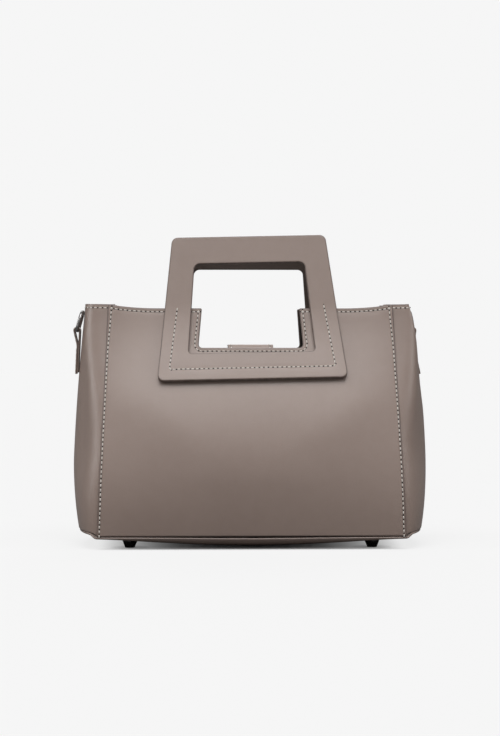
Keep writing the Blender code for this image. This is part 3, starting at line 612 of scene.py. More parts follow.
def metalMaterial(name, color, roughness):
    look = metalLook
    made, tree, coords = newMaterial(name)
    hazy = noiseNode(tree, coords, look["hazeScale"], 4.0, 0.65)
    return finishMaterial(made, {
        "Base Color": rampNode(tree, hazy, (0.3, opaque(color, look["hazeShade"])), (0.7, opaque(color))),
        "Metallic": 1.0,
        "Roughness": rangeNode(tree, hazy, 0.3, 0.7, roughness - look["smoother"],
                               roughness + look["rougher"]),
        "Normal": bumpNode(tree, hazy, 0.12, look["hazeHeight"]),
    })


leather = leatherMaterial("smoothLeather")
# The panels get more darkening near their edges: painted shade along the lines where they lap the gussets and
# the base
panelLeather = leatherMaterial("panelLeather", 1.0, 1.9)
strapEdge = leatherMaterial("strapEdge", 0.92, 0.5)
leatherBack = suedeMaterial("leatherFlesh", (0.165, 0.128, 0.108), (0.120, 0.092, 0.078), 900.0)
# The handles' backs: the same leather darkened to 0.62, painted shade for the narrow space between the two
# handles
shadedHandleBack = leatherMaterial("handleBackPaintedShade", 0.62)
edgePaint = grainMaterial("edgePaint", (0.150, 0.110, 0.095), (0.205, 0.155, 0.135), 240.0, 3.0,
                          0.38, 0.25, 0.00012)
liningCloth = suedeMaterial("liningSuede", (0.050, 0.040, 0.034), (0.034, 0.027, 0.024), 1400.0)
boardFibre = suedeMaterial("boardFibre", (0.34, 0.25, 0.17), (0.24, 0.17, 0.11), 500.0)
gunmetal = metalMaterial("gunmetalPlating", (0.135, 0.130, 0.132), 0.26)
ringPlating = metalMaterial("ringPlating", (0.330, 0.318, 0.315), 0.20)
nickel = metalMaterial("nickelPlating", (0.56, 0.55, 0.54), 0.30)
thread = grainMaterial("thread", (0.66, 0.61, 0.55), (0.88, 0.84, 0.78), 2600.0, 2.0,
                       0.62, 0.5, 0.00006)
# Near black: painted shade inside the needle holes
needleHoleShade = suedeMaterial("needleHoleShade", (0.014, 0.010, 0.008), (0.008, 0.006, 0.005), 900.0, 0.0)
print("materials made")


# Stitches: a thread and a near-black disc of painted shade for its needle hole, repeated along drawn rows by
# Geometry Nodes

stitchSizes = {
    "Pitch": 0.0038,
    "Thread Length": 0.0027,
    "Thread Width": 0.0010,
    "Thread Height": 0.00055,
    "Hole Width": 0.00125,
    "Hole Height": 0.00030,
}


def stitchTree():
    # Its named inputs are the rows, the sizes above and the two finishes
    tree = bpy.data.node_groups.new("stitchRow", "GeometryNodeTree")
    inputs = {"Geometry": "Geometry", **dict.fromkeys(stitchSizes, "Float")}
    for name, kind in {**inputs, "Thread": "Material", "Hole": "Material"}.items():
        tree.interface.new_socket(name, in_out="INPUT", socket_type="NodeSocket" + kind)
    tree.interface.new_socket("Geometry", in_out="OUTPUT", socket_type="NodeSocketGeometry")
    given = tree.nodes.new("NodeGroupInput").outputs
    join = tree.nodes.new("GeometryNodeJoinGeometry")

    def bead(segments, rings, sizes, pitchShare, finish):
        # A flattened ball, moved along the row by a share of the pitch
        counts = {"Segments": segments, "Rings": rings}
        ball = addNode(tree, "GeometryNodeMeshUVSphere", {**counts, "Radius": 0.5})
        size = addNode(tree, "ShaderNodeCombineXYZ", {axis: given[name] for axis, name in zip("XYZ", sizes)})
        along = addNode(tree, "ShaderNodeMath", {0: given["Pitch"], 1: pitchShare}, operation="MULTIPLY")
        shift = addNode(tree, "ShaderNodeCombineXYZ", {"X": along})
        laid = addNode(tree, "GeometryNodeTransform", {"Geometry": ball, "Scale": size, "Translation": shift})
        dyed = addNode(tree, "GeometryNodeSetMaterial", {"Geometry": laid, "Material": given[finish]})
        feed(tree, join, {"Geometry": dyed})

    bead(8, 6, ("Thread Length", "Thread Width", "Thread Height"), 0.0, "Thread")
    # The hole is a flat near-black ball: painted shade in the needle hole
    bead(8, 4, ("Hole Width", "Hole Width", "Hole Height"), 0.5, "Hole")
    curve = addNode(tree, "GeometryNodeMeshToCurve", {"Mesh": given["Geometry"]})
    points = addNode(tree, "GeometryNodeResampleCurve", {"Curve": curve, "Length": given["Pitch"]},
                     mode="LENGTH")
    outward = addNode(tree, "GeometryNodeInputNamedAttribute", {"Name": "outward"}, data_type="FLOAT_VECTOR")
    tangent = addNode(tree, "GeometryNodeInputTangent")
    turn = addNode(tree, "FunctionNodeAxesToRotation", {"Primary Axis": outward, "Secondary Axis": tangent},
                   primary_axis="Z", secondary_axis="X")
    beads = join.outputs["Geometry"]
    placed = addNode(tree, "GeometryNodeInstanceOnPoints", {"Points": points, "Instance": beads,
                                                            "Rotation": turn})
    realized = addNode(tree, "GeometryNodeRealizeInstances", {"Geometry": placed})
    feed(tree, tree.nodes.new("NodeGroupOutput"), {"Geometry": realized})
    return tree


stitchRows = stitchTree()


def stitches(name, rows):
    # Rows are lists of (place, outward) pairs, each a run of stitches
    shape = bmesh.new()
    layer = shape.verts.layers.float_vector.new("outward")
    for row in rows:
        verts = []
        for place, outward in row:
            verts.append(shape.verts.new(place))
            verts[-1][layer] = outward
        for ends in zip(verts, verts[1:]):
            shape.edges.new(ends)
    mesh = bpy.data.meshes.new(name + "Rows")
    shape.to_mesh(mesh)
    shape.free()
    source = addObject(name + "Rows", mesh)
    modifier = source.modifiers.new("stitches", "NODES")
    modifier.node_group = stitchRows
    values = {**stitchSizes, "Thread": thread, "Hole": needleHoleShade}
    for item in stitchRows.interface.items_tree:
        if item.name in values:
            modifier[item.identifier] = values[item.name]
    graph = bpy.context.evaluated_depsgraph_get()
    made = bpy.data.meshes.new_from_object(source.evaluated_get(graph), depsgraph=graph)
    bpy.data.objects.remove(source)
    made.shade_smooth()
    return addObject(name, made)


def laidRow(points, place, lift):
    # Flat points laid on a surface with the direction that faces out of it
    row = [(place(point, -lift), place(point, -lift - normalProbe)) for point in points]
    return [(low, (high - low).normalized()) for low, high in row]


# Front and back panel

panelSizes = {
    "notchBottom": 0.1665,
    "notchBottomHalf": 0.044,
    "notchTopHalf": 0.041,
    "notchRadius": 0.003,
    "cornerRadius": 0.0012,
    "edgeRadius": 0.00085,
    "stitchInset": 0.0031,
    "stitchStart": 0.0005,
    "waistInset": 0.0018,
    "footInset": 0.0022,
    "waistFrom": 0.070,
    "waistTo": 0.160,
    "grooveDepth": 0.00022,
    "grooveHalfWidth": 0.0017,
    "grooveFade": 0.004,
    "rowInsets": (0.0017, 0.0024, 0.0031, 0.0038, 0.0050),
    "gridStep": 0.0042,
    "sideStep": 0.0032,
    "rowStep": 0.003,
    "liningEdge": 0.00035,
    "liningInset": 0.0015,
    "liningStep": 0.006,
    "liningMargins": {"side": 0.008, "top": 0.0012, "bottom": 0.002, "notch": 0.0012},
}


def panelOutline(side=0.0, top=0.0, bottom=0.0, notch=0.0, topSteps=16):
    # The drawing of a panel, less its margins, counter-clockwise from its lower left corner
    sizes = panelSizes
    low = bagForm["bottomHeight"] + bottom
    bottomHalf = halfWidth(low) - side
    topHalf = bagForm["topHalfWidth"] - side
    notchHalf = sizes["notchTopHalf"] + notch
    notchLow = (sizes["notchBottomHalf"] + notch, sizes["notchBottom"] - notch)
    corner, radius = sizes["cornerRadius"], sizes["notchRadius"]

    def along(start, end):
        across = [mix(start, end, share) for share in shares(topSteps)]
        radii = [corner] + [0.0] * (topSteps - 1) + [corner]
        return [(x, topEdge(x) - top, rounding) for x, rounding in zip(across, radii)]

    return roundedOutline(
        [(-bottomHalf, low, corner), (bottomHalf, low, corner)] + along(topHalf, notchHalf)
        + [(*notchLow, radius), (-notchLow[0], notchLow[1], radius)] + along(-notchHalf, -topHalf),
        4, sizes["sideStep"])


def sideInset(z):
    # The side rows run in towards the edge between the top and the foot
    sizes = panelSizes
    low = mix(sizes["footInset"], sizes["waistInset"], smooth(z / sizes["waistFrom"]))
    return mix(low, sizes["stitchInset"], smooth(shareOf(z, sizes["waistTo"], bagForm["topHeight"])))


def panelRelief(point, reach):
    # A shallow furrow under the stitches, faded out along the unstitched bottom edge
    sizes = panelSizes
    beside = halfWidth(point.y) - abs(point.x) < 2.0 * sizes["stitchInset"]
    inset = sideInset(point.y) if beside else sizes["stitchInset"]
    off = abs(reach - inset) / sizes["grooveHalfWidth"]
    if off >= 1.0:
        return 0.0
    faded = smooth((point.y - bagForm["bottomHeight"] - sizes["grooveFade"]) / sizes["grooveFade"])
    return sizes["grooveDepth"] * (1.0 - off) ** 2 * (1.0 + 2.0 * off) * faded


def panelStitchRows(place):
    sizes = panelSizes
    inset, radius = sizes["stitchInset"], sizes["notchRadius"]
    topHalf = bagForm["topHalfWidth"] - inset
    notchHalf = sizes["notchTopHalf"] + inset
    rows, notch = [], [Vector((-notchHalf, topEdge(0.0) - inset))]
    for side, quarters in ((-1.0, 2.0), (1.0, 3.0)):
        corner = Vector((side * topHalf, topEdge(topHalf) - inset))
        low = bagForm["bottomHeight"] + sizes["stitchStart"]
        heights = [mix(low, corner.y, share) for share in shares(40)[:-1]]
        rows.append([Vector((side * (halfWidth(z) - sideInset(z)), z)) for z in heights] + [corner])
        across = [mix(topHalf, notchHalf, share) for share in shares(24)]
        rows.append([Vector((side * x, topEdge(x) - inset)) for x in across])
        center = Vector((side * (sizes["notchBottomHalf"] - radius), sizes["notchBottom"] + radius))
        turns = [quarter * (quarters + share) for share in shares(6)]
        notch += [center + (radius + inset) * Vector((math.cos(turn), math.sin(turn))) for turn in turns]
    rows.append(resampled(notch + [Vector((notchHalf, topEdge(0.0) - inset))], sizes["rowStep"]))
    return [laidRow(row, place, hair) for row in rows]


def makePanels():
    sizes, form = panelSizes, bagForm
    outline, inner = panelOutline(), panelOutline(**sizes["liningMargins"])
    for side, place, body in bagSides:
        panel = leatherPiece(side + "Panel", [outline], place, 0.0, form["leather"], sizes["edgeRadius"],
                             (panelLeather, edgePaint, leatherBack), sizes["rowInsets"], sizes["gridStep"],
                             panelRelief)
        dress(panel, "leather", body, side + "_panel")
        lining = leatherPiece(side + "Lining", [inner], place, form["leather"] + liningRoom, form["lining"],
                              sizes["liningEdge"], (liningCloth,) * 3, (sizes["liningInset"],),
                              sizes["liningStep"])
        dress(lining, "lining", body, side + "_lining")
        dress(stitches(side + "PanelStitches", panelStitchRows(place)), "leather", body)
    print("panels made")


makePanels()


# Handles: three layers each, with painted edges

handleSizes = {
    "bottomHeight": 0.1385,
    "topHeight": 0.2600,
    "bottomHalf": 0.0795,
    "topHalf": 0.0650,
    "topRadius": 0.0055,
    "bottomRadius": 0.0050,
    "windowBottom": 0.1608,
    "windowTop": 0.2370,
    "windowBottomHalf": 0.0530,
    "windowTopHalf": 0.0465,
    "windowTopRadius": 0.0050,
    "windowBottomRadius": 0.0030,
    "face": 0.0016,
    "core": 0.0010,
    "back": 0.0012,
    "edgeRadius": 0.0007,
    "coreEdge": 0.0003,
    "backEdge": 0.0005,
    "faceInsets": (0.0016, 0.0026, 0.0040),
    "coreInsets": (0.002,),
    "backInsets": (0.002, 0.0035),
    "faceStep": 0.0019,
    "coreStep": 0.006,
    "backStep": 0.005,
    "stitchStart": 0.0012,
    "stitchRise": 0.0094,
    "stitchFoot": 0.0690,
    "stitchTop": 0.0618,
    "stitchCorner": 0.0012,
    "stitchSink": 0.0001,
    "sideStep": 0.0035,
    "rowStep": 0.004,
    "grooveDepth": 0.00022,
    "grooveHalfWidth": 0.0018,
}
handlePoses = {
    "front": {"turn": math.radians(1.2), "shift": 0.0, "drop": 0.0},
    "back": {"turn": 0.0, "shift": 0.0010, "drop": 0.0040},
}


def handleMove(pose):
    center = Vector((0.0, (handleSizes["bottomHeight"] + handleSizes["topHeight"]) / 2.0))
    turning = Matrix.Rotation(pose["turn"], 2)
    moved = center + Vector((pose["shift"], -pose["drop"]))
    return lambda point: turning @ (point - center) + moved


def handleLoops(move):
    sizes = handleSizes
    outer = trapezium(sizes["bottomHalf"], sizes["bottomHeight"], sizes["bottomRadius"],
                      sizes["topHalf"], sizes["topHeight"], sizes["topRadius"])
    window = trapezium(sizes["windowBottomHalf"], sizes["windowBottom"], sizes["windowBottomRadius"],
                       sizes["windowTopHalf"], sizes["windowTop"], sizes["windowTopRadius"])
    outerLoop, windowLoop = ([move(point) for point in roundedOutline(corners, 7, sizes["sideStep"])]
                             for corners in (outer, window))
    return [outerLoop, windowLoop[::-1]]


def handleStitchLine(move):
    # One run that joins the handle to the panel: down from the panel's top edge, across and up again
    sizes = handleSizes
    low = sizes["bottomHeight"] + sizes["stitchRise"]
    foot, corner = sizes["stitchFoot"], sizes["stitchCorner"]
    start = (sizes["stitchTop"], topEdge(0.0) - sizes["stitchStart"])
    right = [(foot - corner, low), (foot, low + corner), start]
    return [move(Vector(point)) for point in [(-x, z) for x, z in reversed(right)] + right]


def distanceToLine(point, line):
    nearest = 1.0
    for start, end in zip(line, line[1:]):
        along = end - start
        share = min(max((point - start).dot(along) / along.length_squared, 0.0), 1.0)
        nearest = min(nearest, (point - start - along * share).length)
    return nearest


def makeHandles():
    sizes, gap = handleSizes, bagForm["gap"]
    backLevel = sizes["back"] + gap
    coreLevel = sizes["back"] + sizes["core"] + 2.0 * gap
    faceLevel = coreLevel + sizes["face"] + gap
    for side, place, body in bagSides:
        move = handleMove(handlePoses[side])
        loops, line = handleLoops(move), handleStitchLine(move)

        def furrow(point, reach, line=line):
            off = distanceToLine(point, line) / sizes["grooveHalfWidth"]
            return sizes["grooveDepth"] * (1.0 - off * off) ** 2 if off < 1.0 else 0.0

        face = leatherPiece(side + "HandleFace", loops, place, -faceLevel, sizes["face"] + gap,
                            sizes["edgeRadius"], (leather, edgePaint, shadedHandleBack), sizes["faceInsets"],
                            sizes["faceStep"], furrow)
        dress(face, "leather", body, side + "_handle_face")
        core = leatherPiece(side + "HandleCore", loops, place, -coreLevel, sizes["core"] + gap,
                            sizes["coreEdge"], (edgePaint,) * 3, sizes["coreInsets"], sizes["coreStep"],
                            arcSteps=2)
        dress(core, "board", body, side + "_handle_core")
        back = leatherPiece(side + "HandleBack", loops, place, -backLevel, sizes["back"], sizes["backEdge"],
                            (shadedHandleBack, edgePaint, shadedHandleBack), sizes["backInsets"], sizes["backStep"],
                            arcSteps=2)
        dress(back, "leather", body, side + "_handle_back")
        rows = [laidRow(resampled(line, sizes["rowStep"]), place, faceLevel - sizes["stitchSink"])]
        dress(stitches(side + "HandleStitches", rows), "leather", body)
    print("handles made")


makeHandles()


# Gussets, each in a front and a back half

gussetSizes = {
    "overlap": 0.006,
    "bellyHeight": 0.070,
    "seamRoom": 0.0006,
    "bellyReach": 0.150,
    "bottomReach": 0.1445,
    "topReach": {"left": 0.1405, "right": 0.1415},
    "topRise": 0.0005,
    "taper": 1.3,
    "straightFrom": 0.195,
    "bottomRoundness": 2.4,
    "waistRoundness": 1.8,
    "topRoundness": {"left": 3.0, "right": 5.0},
    "waistHeight": 0.085,
    "dent": {"left": 0.0004, "right": 0.0075},
    "dentHalfDepth": 0.016,
    "dentSharpness": 8,
    "dentFrom": 0.110,
    "fold": {"left": 0.0022, "right": 0.0012},
    "foldPlaceShare": 0.62,
    "foldWidthShare": 0.22,
    "foldFrom": 0.030,
    "foldTo": 0.180,
    "foldFade": 0.050,
    "edgeRadius": 0.00085,
    "steps": (44, 70),
    "liningSteps": (24, 30),
    "liningTurn": math.radians(84.0),
    "liningMargin": 0.0012,
    "stitchInset": 0.0031,
    "bendAcross": 0.14,
    "bendBefore": 0.001,
    "bendRise": 0.0015,
    "bendWay": (0.979, 0.212),
    "bendLength": 0.018,
}


def seamStart(z):
    return halfWidth(z) - gussetSizes["overlap"]


def seamHalfDepth(z):
    under = panelPlace((seamStart(z), z), bagForm["leather"] + gussetSizes["seamRoom"])
    return -under.y - (under.z - z) * upSlope(seamStart(z), z)


def gussetReach(side, z):
    sizes = gussetSizes
    belly, widest = sizes["bellyHeight"], sizes["bellyReach"]
    if z < belly:
        return mix(widest, sizes["bottomReach"], shareOf(z, belly, bagForm["bottomHeight"]) ** 2)
    if side == "right":
        # The right gusset is stretched straight near its top
        return mix(widest, sizes["topReach"][side], smooth(shareOf(z, belly, sizes["straightFrom"])))
    return mix(widest, sizes["topReach"][side], shareOf(z, belly, bagForm["topHeight"]) ** sizes["taper"])


def gussetRoundness(side, z):
    # Full corners at the bottom and the top, and a slack section at the waist between them
    sizes = gussetSizes
    waist, slack = sizes["waistHeight"], sizes["waistRoundness"]
    if z < waist:
        return mix(sizes["bottomRoundness"], slack, smooth(shareOf(z, bagForm["bottomHeight"], waist)))
    return mix(slack, sizes["topRoundness"][side], smooth(shareOf(z, waist, bagForm["topHeight"])))


def gussetSection(side, z, turn):
    # A level section as for the right gusset, from the front seam at -90 degrees to the back seam
    sizes = gussetSizes
    power = 2.0 / gussetRoundness(side, z)
    halfDepth = seamHalfDepth(z)
    y = halfDepth * math.copysign(abs(math.sin(turn)) ** power, turn)
    x = mix(seamStart(z), gussetReach(side, z), max(math.cos(turn), 0.0) ** power)
    sunk = sizes["dent"][side] * smooth(shareOf(z, sizes["dentFrom"], bagForm["topHeight"]))
    x -= sunk * math.exp(-((y / sizes["dentHalfDepth"]) ** sizes["dentSharpness"]))
    fade = sizes["foldFade"]
    folded = smooth((z - sizes["foldFrom"]) / fade) * smooth((sizes["foldTo"] - z) / fade)
    off = (abs(y) / halfDepth - sizes["foldPlaceShare"]) / sizes["foldWidthShare"]
    x -= sizes["fold"][side] * folded * math.exp(-off * off)
    return Vector((x, y, z))


def gussetPlace(side, z, turn, depth):
    # The gusset's surface in the bag, and how its inner layers lie behind it
    small = math.radians(1.0)
    ahead = gussetSection(side, z, min(turn + small, quarter))
    behind = gussetSection(side, z, max(turn - small, -quarter))
    upward = gussetSection(side, z + probe, turn) - gussetSection(side, z - probe, turn)
    outward = (ahead - behind).cross(upward).normalized()
    place = gussetSection(side, z, turn) - outward * depth
    if side == "left":
        return Vector((-place.x, -place.y, place.z)), Vector((outward.x, outward.y, -outward.z))
    return place, -outward


# The base panel's form, which also gives the foot of the gussets

baseSizes = {
    "sag": 0.0016,
    "sideRise": 0.0086,
    "riseHalfLength": 0.127,
    "endLift": 0.0012,
    "endStep": 0.0030,
    "stepLength": 0.006,
    "edgeSharpness": 8,
    "liningShare": 0.90,
    "edgeRadius": 0.0008,
    "rowShares": (0.08, 0.2, 0.34, 0.48, 0.62, 0.74, 0.82, 0.88, 0.92, 0.95, 0.97, 0.985, 1.0),
    "withinShare": 0.004,
    "steps": (40, 60),
    "liningSteps": (16, 24),
}


def baseOutline(endSteps, sideSteps):
    foot = bagForm["bottomHeight"]
    widening = bagForm["bottomHalfDepth"] / seamHalfDepth(foot)
    right = []
    for share in shares(endSteps):
        # Steps crowd towards the seams, where the section turns most sharply
        point = gussetSection("right", foot, quarter * math.sin(mix(-quarter, quarter, share)))
        right.append(Vector((point.x, point.y * widening)))
    behind, before = (Vector((-point.x, point.y)) for point in (right[-1], right[0]))
    steps = shares(sideSteps, 1)[:-1]
    return (right + [right[-1].lerp(behind, share) for share in steps]
            + [-point for point in right] + [before.lerp(right[0], share) for share in steps])


fineBase = baseOutline(*baseSizes["steps"])


def baseEndLift(x):
    # A short step up beyond the panels, then a slow rise
    start = bagForm["bottomHalfWidth"] + bagForm["leather"] / 2.0
    beyond = abs(x) - start
    rise = smooth(beyond / (gussetSizes["bottomReach"] - start))
    return baseSizes["endStep"] * smooth(beyond / baseSizes["stepLength"]) + baseSizes["endLift"] * rise


def baseMiddleHeight(x):
    return baseSizes["sag"] + baseSizes["sideRise"] * (x / baseSizes["riseHalfLength"]) ** 2


def baseHeight(edge, share, depth):
    edgeHeight = bagForm["bottomHeight"] + baseEndLift(edge.x) - bagForm["gap"] - bagForm["leather"]
    rise = edgeHeight - baseMiddleHeight(edge.x)
    return baseMiddleHeight(edge.x * share) + rise * share ** baseSizes["edgeSharpness"] + depth


def baseHeightAt(x, y, depth):
    for start, end in pairs(fineBase):
        across = start.x * end.y - start.y * end.x
        low = x * end.y - y * end.x
        high = start.x * y - start.y * x
        if low >= 0.0 and high >= 0.0 and low + high > 0.0:
            return baseHeight(start.lerp(end, high / (low + high)), (low + high) / across, depth)
    return baseHeight(fineBase[0], 0.0, depth)


def gussetHigh(turn, margin):
    return bagForm["topHeight"] + gussetSizes["topRise"] * math.cos(turn) - margin


def gussetLow(side, turn, margin):
    foot = gussetSection(side, bagForm["bottomHeight"], turn)
    innerY = math.copysign(max(abs(foot.y) - bagForm["leather"], 0.0), foot.y)
    under = max(baseHeightAt(foot.x, y, bagForm["leather"]) for y in (foot.y, innerY))
    return under + bagForm["gap"] + margin


def gussetRows(side, ahead, depth, limit, margin, columns, rowCount):
    # Columns crowd towards the seam, and rows towards the top and bottom edges
    turns = [limit * math.sin(quarter * (share - 1.0 if ahead else share)) for share in shares(columns)]
    spans = [(turn, gussetLow(side, turn, margin), gussetHigh(turn, margin)) for turn in turns]
    crowded = [0.5 - 0.5 * math.cos(math.pi * row / rowCount) for row in range(rowCount + 1)]
    return [[gussetPlace(side, mix(low, high, share), turn, depth) for turn, low, high in spans]
            for share in crowded]


def bend(piece, half):
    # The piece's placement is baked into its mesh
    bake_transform(piece)


def makeGussets():
    sizes, form = gussetSizes, bagForm
    for side, half in (("left", "front"), ("left", "back"), ("right", "front"), ("right", "back")):
        name = side + half.title() + "Gusset"
        ahead = (half == "front") == (side == "right")
        openColumn = -1 if ahead else 0
        outer = sheetPiece(name, gussetRows(side, ahead, 0.0, quarter, 0.0, *sizes["steps"]), form["leather"],
                           sizes["edgeRadius"], (leather, leather, leatherBack), openColumn=openColumn)
        dress(outer, "leather", node=side + "_gusset")
        bend(outer, half)
        rows = gussetRows(side, ahead, form["leather"] + liningRoom, sizes["liningTurn"],
                          sizes["liningMargin"], *sizes["liningSteps"])
        inner = sheetPiece(name + "Lining", rows, form["lining"], liningEdge, (liningCloth,) * 3,
                           openColumn=openColumn)
        dress(inner, "lining", node=side + "_gusset_lining")
        bend(inner, half)
        line = []
        for share in shares(40):
            turn = (-quarter if ahead else quarter) * math.sin(quarter * share)
            place, inward = gussetPlace(side, gussetHigh(turn, sizes["stitchInset"]), turn, -hair)
            line.append((place, -inward))
        seam = stitches(name + "Stitches", [line])
        dress(seam, "leather")
        bend(seam, half)
    print("gussets made")


makeGussets()


def baseRows(outerShare, depth, outline):
    def spot(edge, share):
        return Vector((edge.x * share, edge.y * share, baseHeight(edge, share, depth)))

    rows = []
    for share in [share for share in baseSizes["rowShares"] if share < outerShare] + [outerShare]:
        line = []
        for edge in outline:
            here = spot(edge, share)
            radial = (here - spot(edge, share - baseSizes["withinShare"])).normalized()
            up = radial.cross(Vector((-radial.y, radial.x, 0.0)).normalized())
            line.append((here, up if up.z > 0.0 else -up))
        rows.append(line)
    return rows


def makeBase():
    form, sizes = bagForm, baseSizes
    panel = sheetPiece("basePanel", baseRows(1.0, 0.0, fineBase), form["leather"], sizes["edgeRadius"],
                       (leather, leather, leatherBack), around=True)
    dress(panel, "leather", "bag", "base_panel")
    liningDepth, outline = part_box("base_lining")[0].z - sizes["sag"], baseOutline(*sizes["liningSteps"])
    lining = sheetPiece("baseLining", baseRows(sizes["liningShare"], liningDepth, outline),
                        form["lining"], liningEdge, (liningCloth,) * 3, around=True)
    dress(lining, "lining", "bag", "base_lining")
    print("base made")


makeBase()


# Straps that run along a path in the (across, up) plane

def pathNormals(path):
    ways = [(after - before).normalized() for before, after in zip(path[:1] + path, path[1:] + path[-1:])]
    return [Vector((-way.y, way.x)) for way in ways]


def smoothPath(path, step):
    # A finer path through the same points
    out = []
    held = path[:1] + path + path[-1:]
    for before, start, end, after in zip(held, held[1:], held[2:], held[3:]):
        for share in shares(max(1, round((end - start).length / step)))[:-1]:
            square, cube = share * share, share ** 3
            out.append(0.5 * (2.0 * start + (end - before) * share
                              + (2.0 * before - 5.0 * start + 4.0 * end - after) * square
                              + (3.0 * start - before - 3.0 * end + after) * cube))
    return out + path[-1:]


def strapRows(path, normals, halfAcross, place, lay):
    right = [0.25, 0.5, 0.72, 0.86, 0.96, 1.0]
    columns = [-share for share in reversed(right)] + [0.0] + right
    return [[(place(point, share * halfAcross), lay(normal)) for share in columns]
            for point, normal in zip(path, normals)]


# Closure tab: hinged behind the back panel, over the mouth and down inside the front

tabSizes = {
    "halfWidth": 0.019,
    "layer": 0.0013,
    "edgeRadius": 0.0006,
    "backingStep": 0.0002,
    "anchor": 0.0014,
    "hingeHeight": 0.1660,
    "crownHeight": 0.1690,
    "endHeight": 0.1465,
    "bendRadius": 0.0060,
    "anchorBottom": 0.1400,
    "patch": 0.0016,
    "patchEdge": 0.0005,
    "patchHalfWidth": 0.016,
    "patchHalfHeight": 0.0085,
    "magnetHeight": 0.1540,
    "gapShare": 0.2,
    "stitchInset": 0.0028,
    "pathStep": 0.0012,
}


def middleAtHeight(z, depth):
    return panelDepth(0.0, z) - depth * math.sqrt(1.0 + upSlope(0.0, z) * upSlope(0.0, z))


def tabPath():
    form, sizes = bagForm, tabSizes
    hinge, crown, end = sizes["hingeHeight"], sizes["crownHeight"], sizes["endHeight"]
    radius = sizes["bendRadius"]
    panel = form["leather"] + form["lining"]
    hingeY = middleAtHeight(hinge, panel + sizes["anchor"] + 3.0 * form["gap"])
    stack = panel + sizes["patch"] + 3.0 * form["gap"]
    rise = crown - (hinge + 2.0 * sizes["layer"] + form["gap"])
    bendY = -middleAtHeight(hinge, stack) + radius
    bendZ = crown - radius
    path = []
    for share in shares(5):
        y = mix(hingeY - form["gap"], bendY, share)
        arch = max(1.0 - (y / hingeY) ** 2, 0.0) if y > 0.0 else 1.0
        path.append(Vector((y, crown - rise * (1.0 - arch))))
    lean = math.atan((middleAtHeight(end, stack) - middleAtHeight(bendZ, stack)) / (bendZ - end))
    for share in shares(6, 1):
        angle = (quarter - lean) * share
        path.append(Vector((bendY - radius * math.sin(angle), bendZ + radius * math.cos(angle))))
    heights = [mix(path[-1].y, end, share) for share in shares(4, 1)]
    return smoothPath(path + [Vector((-middleAtHeight(z, stack), z)) for z in heights], sizes["pathStep"])


def patchRows(surface, low, high, halfAcross, depth):
    rows = []
    for z in [mix(low, high, share) for share in shares(12)]:
        points = [(mix(-halfAcross, halfAcross, share), z) for share in shares(12)]
        ends = [(surface(point, depth), surface(point, depth + normalProbe)) for point in points]
        rows.append([(here, (within - here).normalized()) for here, within in ends])
    return rows


def makeClosure():
    form, sizes = bagForm, tabSizes
    path = tabPath()
    normals = pathNormals(path)

    def place(point, across):
        return Vector((across, point.x, point.y))

    def lay(normal):
        return Vector((0.0, normal.x, normal.y))

    face = sheetPiece("closureTabFace", strapRows(path, normals, sizes["halfWidth"], place, lay),
                      sizes["layer"], sizes["edgeRadius"], (leather, strapEdge, leatherBack))
    dress(face, "leather", "closure_tab", "closure_tab_face")
    # The backing takes up all but a share of the gap between the two layers
    held = form["gap"] * sizes["gapShare"]
    under = [point + normal * (sizes["layer"] + held) for point, normal in zip(path, normals)]
    rows = strapRows(under, normals, sizes["halfWidth"] - sizes["backingStep"], place, lay)
    backing = sheetPiece("closureTabBacking", rows, sizes["layer"] + form["gap"] - held, sizes["edgeRadius"],
                         (leather, strapEdge, leather))
    dress(backing, "leather", "closure_tab", "closure_tab_backing")
    edge = sizes["halfWidth"] - sizes["stitchInset"]
    rows = [[(place(point, across) - lay(normal) * hair, -lay(normal))
             for point, normal in zip(path[2:-2], normals[2:-2])] for across in (-edge, edge)]
    dress(stitches("closureTabStitches", rows), "leather", "closure_tab")

    layers = form["leather"] + form["lining"] + 2.0 * form["gap"]
    rows = patchRows(backPlace, sizes["anchorBottom"], sizes["hingeHeight"] - 2.0 * form["gap"],
                     sizes["halfWidth"], layers)
    anchor = sheetPiece("closureAnchor", rows, sizes["anchor"], sizes["patchEdge"],
                        (leather, edgePaint, leather))
    dress(anchor, "leather", "back_side", "closure_anchor")
    magnet, half = sizes["magnetHeight"], sizes["patchHalfHeight"]
    rows = patchRows(panelPlace, magnet - half, magnet + half, sizes["patchHalfWidth"], layers)
    patch = sheetPiece("magnetPatch", rows, sizes["patch"], sizes["patchEdge"], (leather, edgePaint, leather))
    dress(patch, "leather", "front_side", "magnet_patch")
    print("closure made")


makeClosure()


# D-rings of round wire and the folded tabs that hold them

ringSizes = {
    "wire": 0.0015,
    "wireSides": 20,
    "halfWidth": 0.0110,
    "reach": 0.0165,
    "cornerRadius": 0.0030,
    "archRadius": 0.0088,
    "barHeight": 0.1810,
    "standOff": {"left": 0.0016, "right": 0.0},
    "tabLeather": 0.0012,
    "tabEdge": 0.00055,
    "tabHalfWidth": 0.0080,
    "tabBottom": 0.1440,
    "taperLength": 0.012,
    "sideStep": 0.0012,
    "pathStep": 0.0009,
    "stitchInset": 0.0022,
    "stitchLow": 0.0025,
    "stitchHigh": 0.0045,
    "outerShare": 0.9,
}


def gussetMiddle(side, z):
    return gussetSection(side, z, 0.0).x


def ringBarReach(side):
    surface = gussetMiddle(side, ringSizes["barHeight"]) + ringSizes["standOff"][side]
    return surface + 2.0 * bagForm["gap"] + ringSizes["tabLeather"] + ringSizes["wire"]


def ringLean(side):
    # How far the ring leans in until its arch rests on the gusset, found in rounds
    sizes = ringSizes
    lean = 0.0
    for _ in range(12):
        height = sizes["barHeight"] + sizes["reach"] * math.cos(lean)
        surface = gussetMiddle(side, min(height, bagForm["topHeight"]))
        room = ringBarReach(side) - surface - sizes["wire"] - bagForm["gap"]
        lean = math.asin(min(max(room / sizes["reach"], 0.0), 1.0))
    return lean


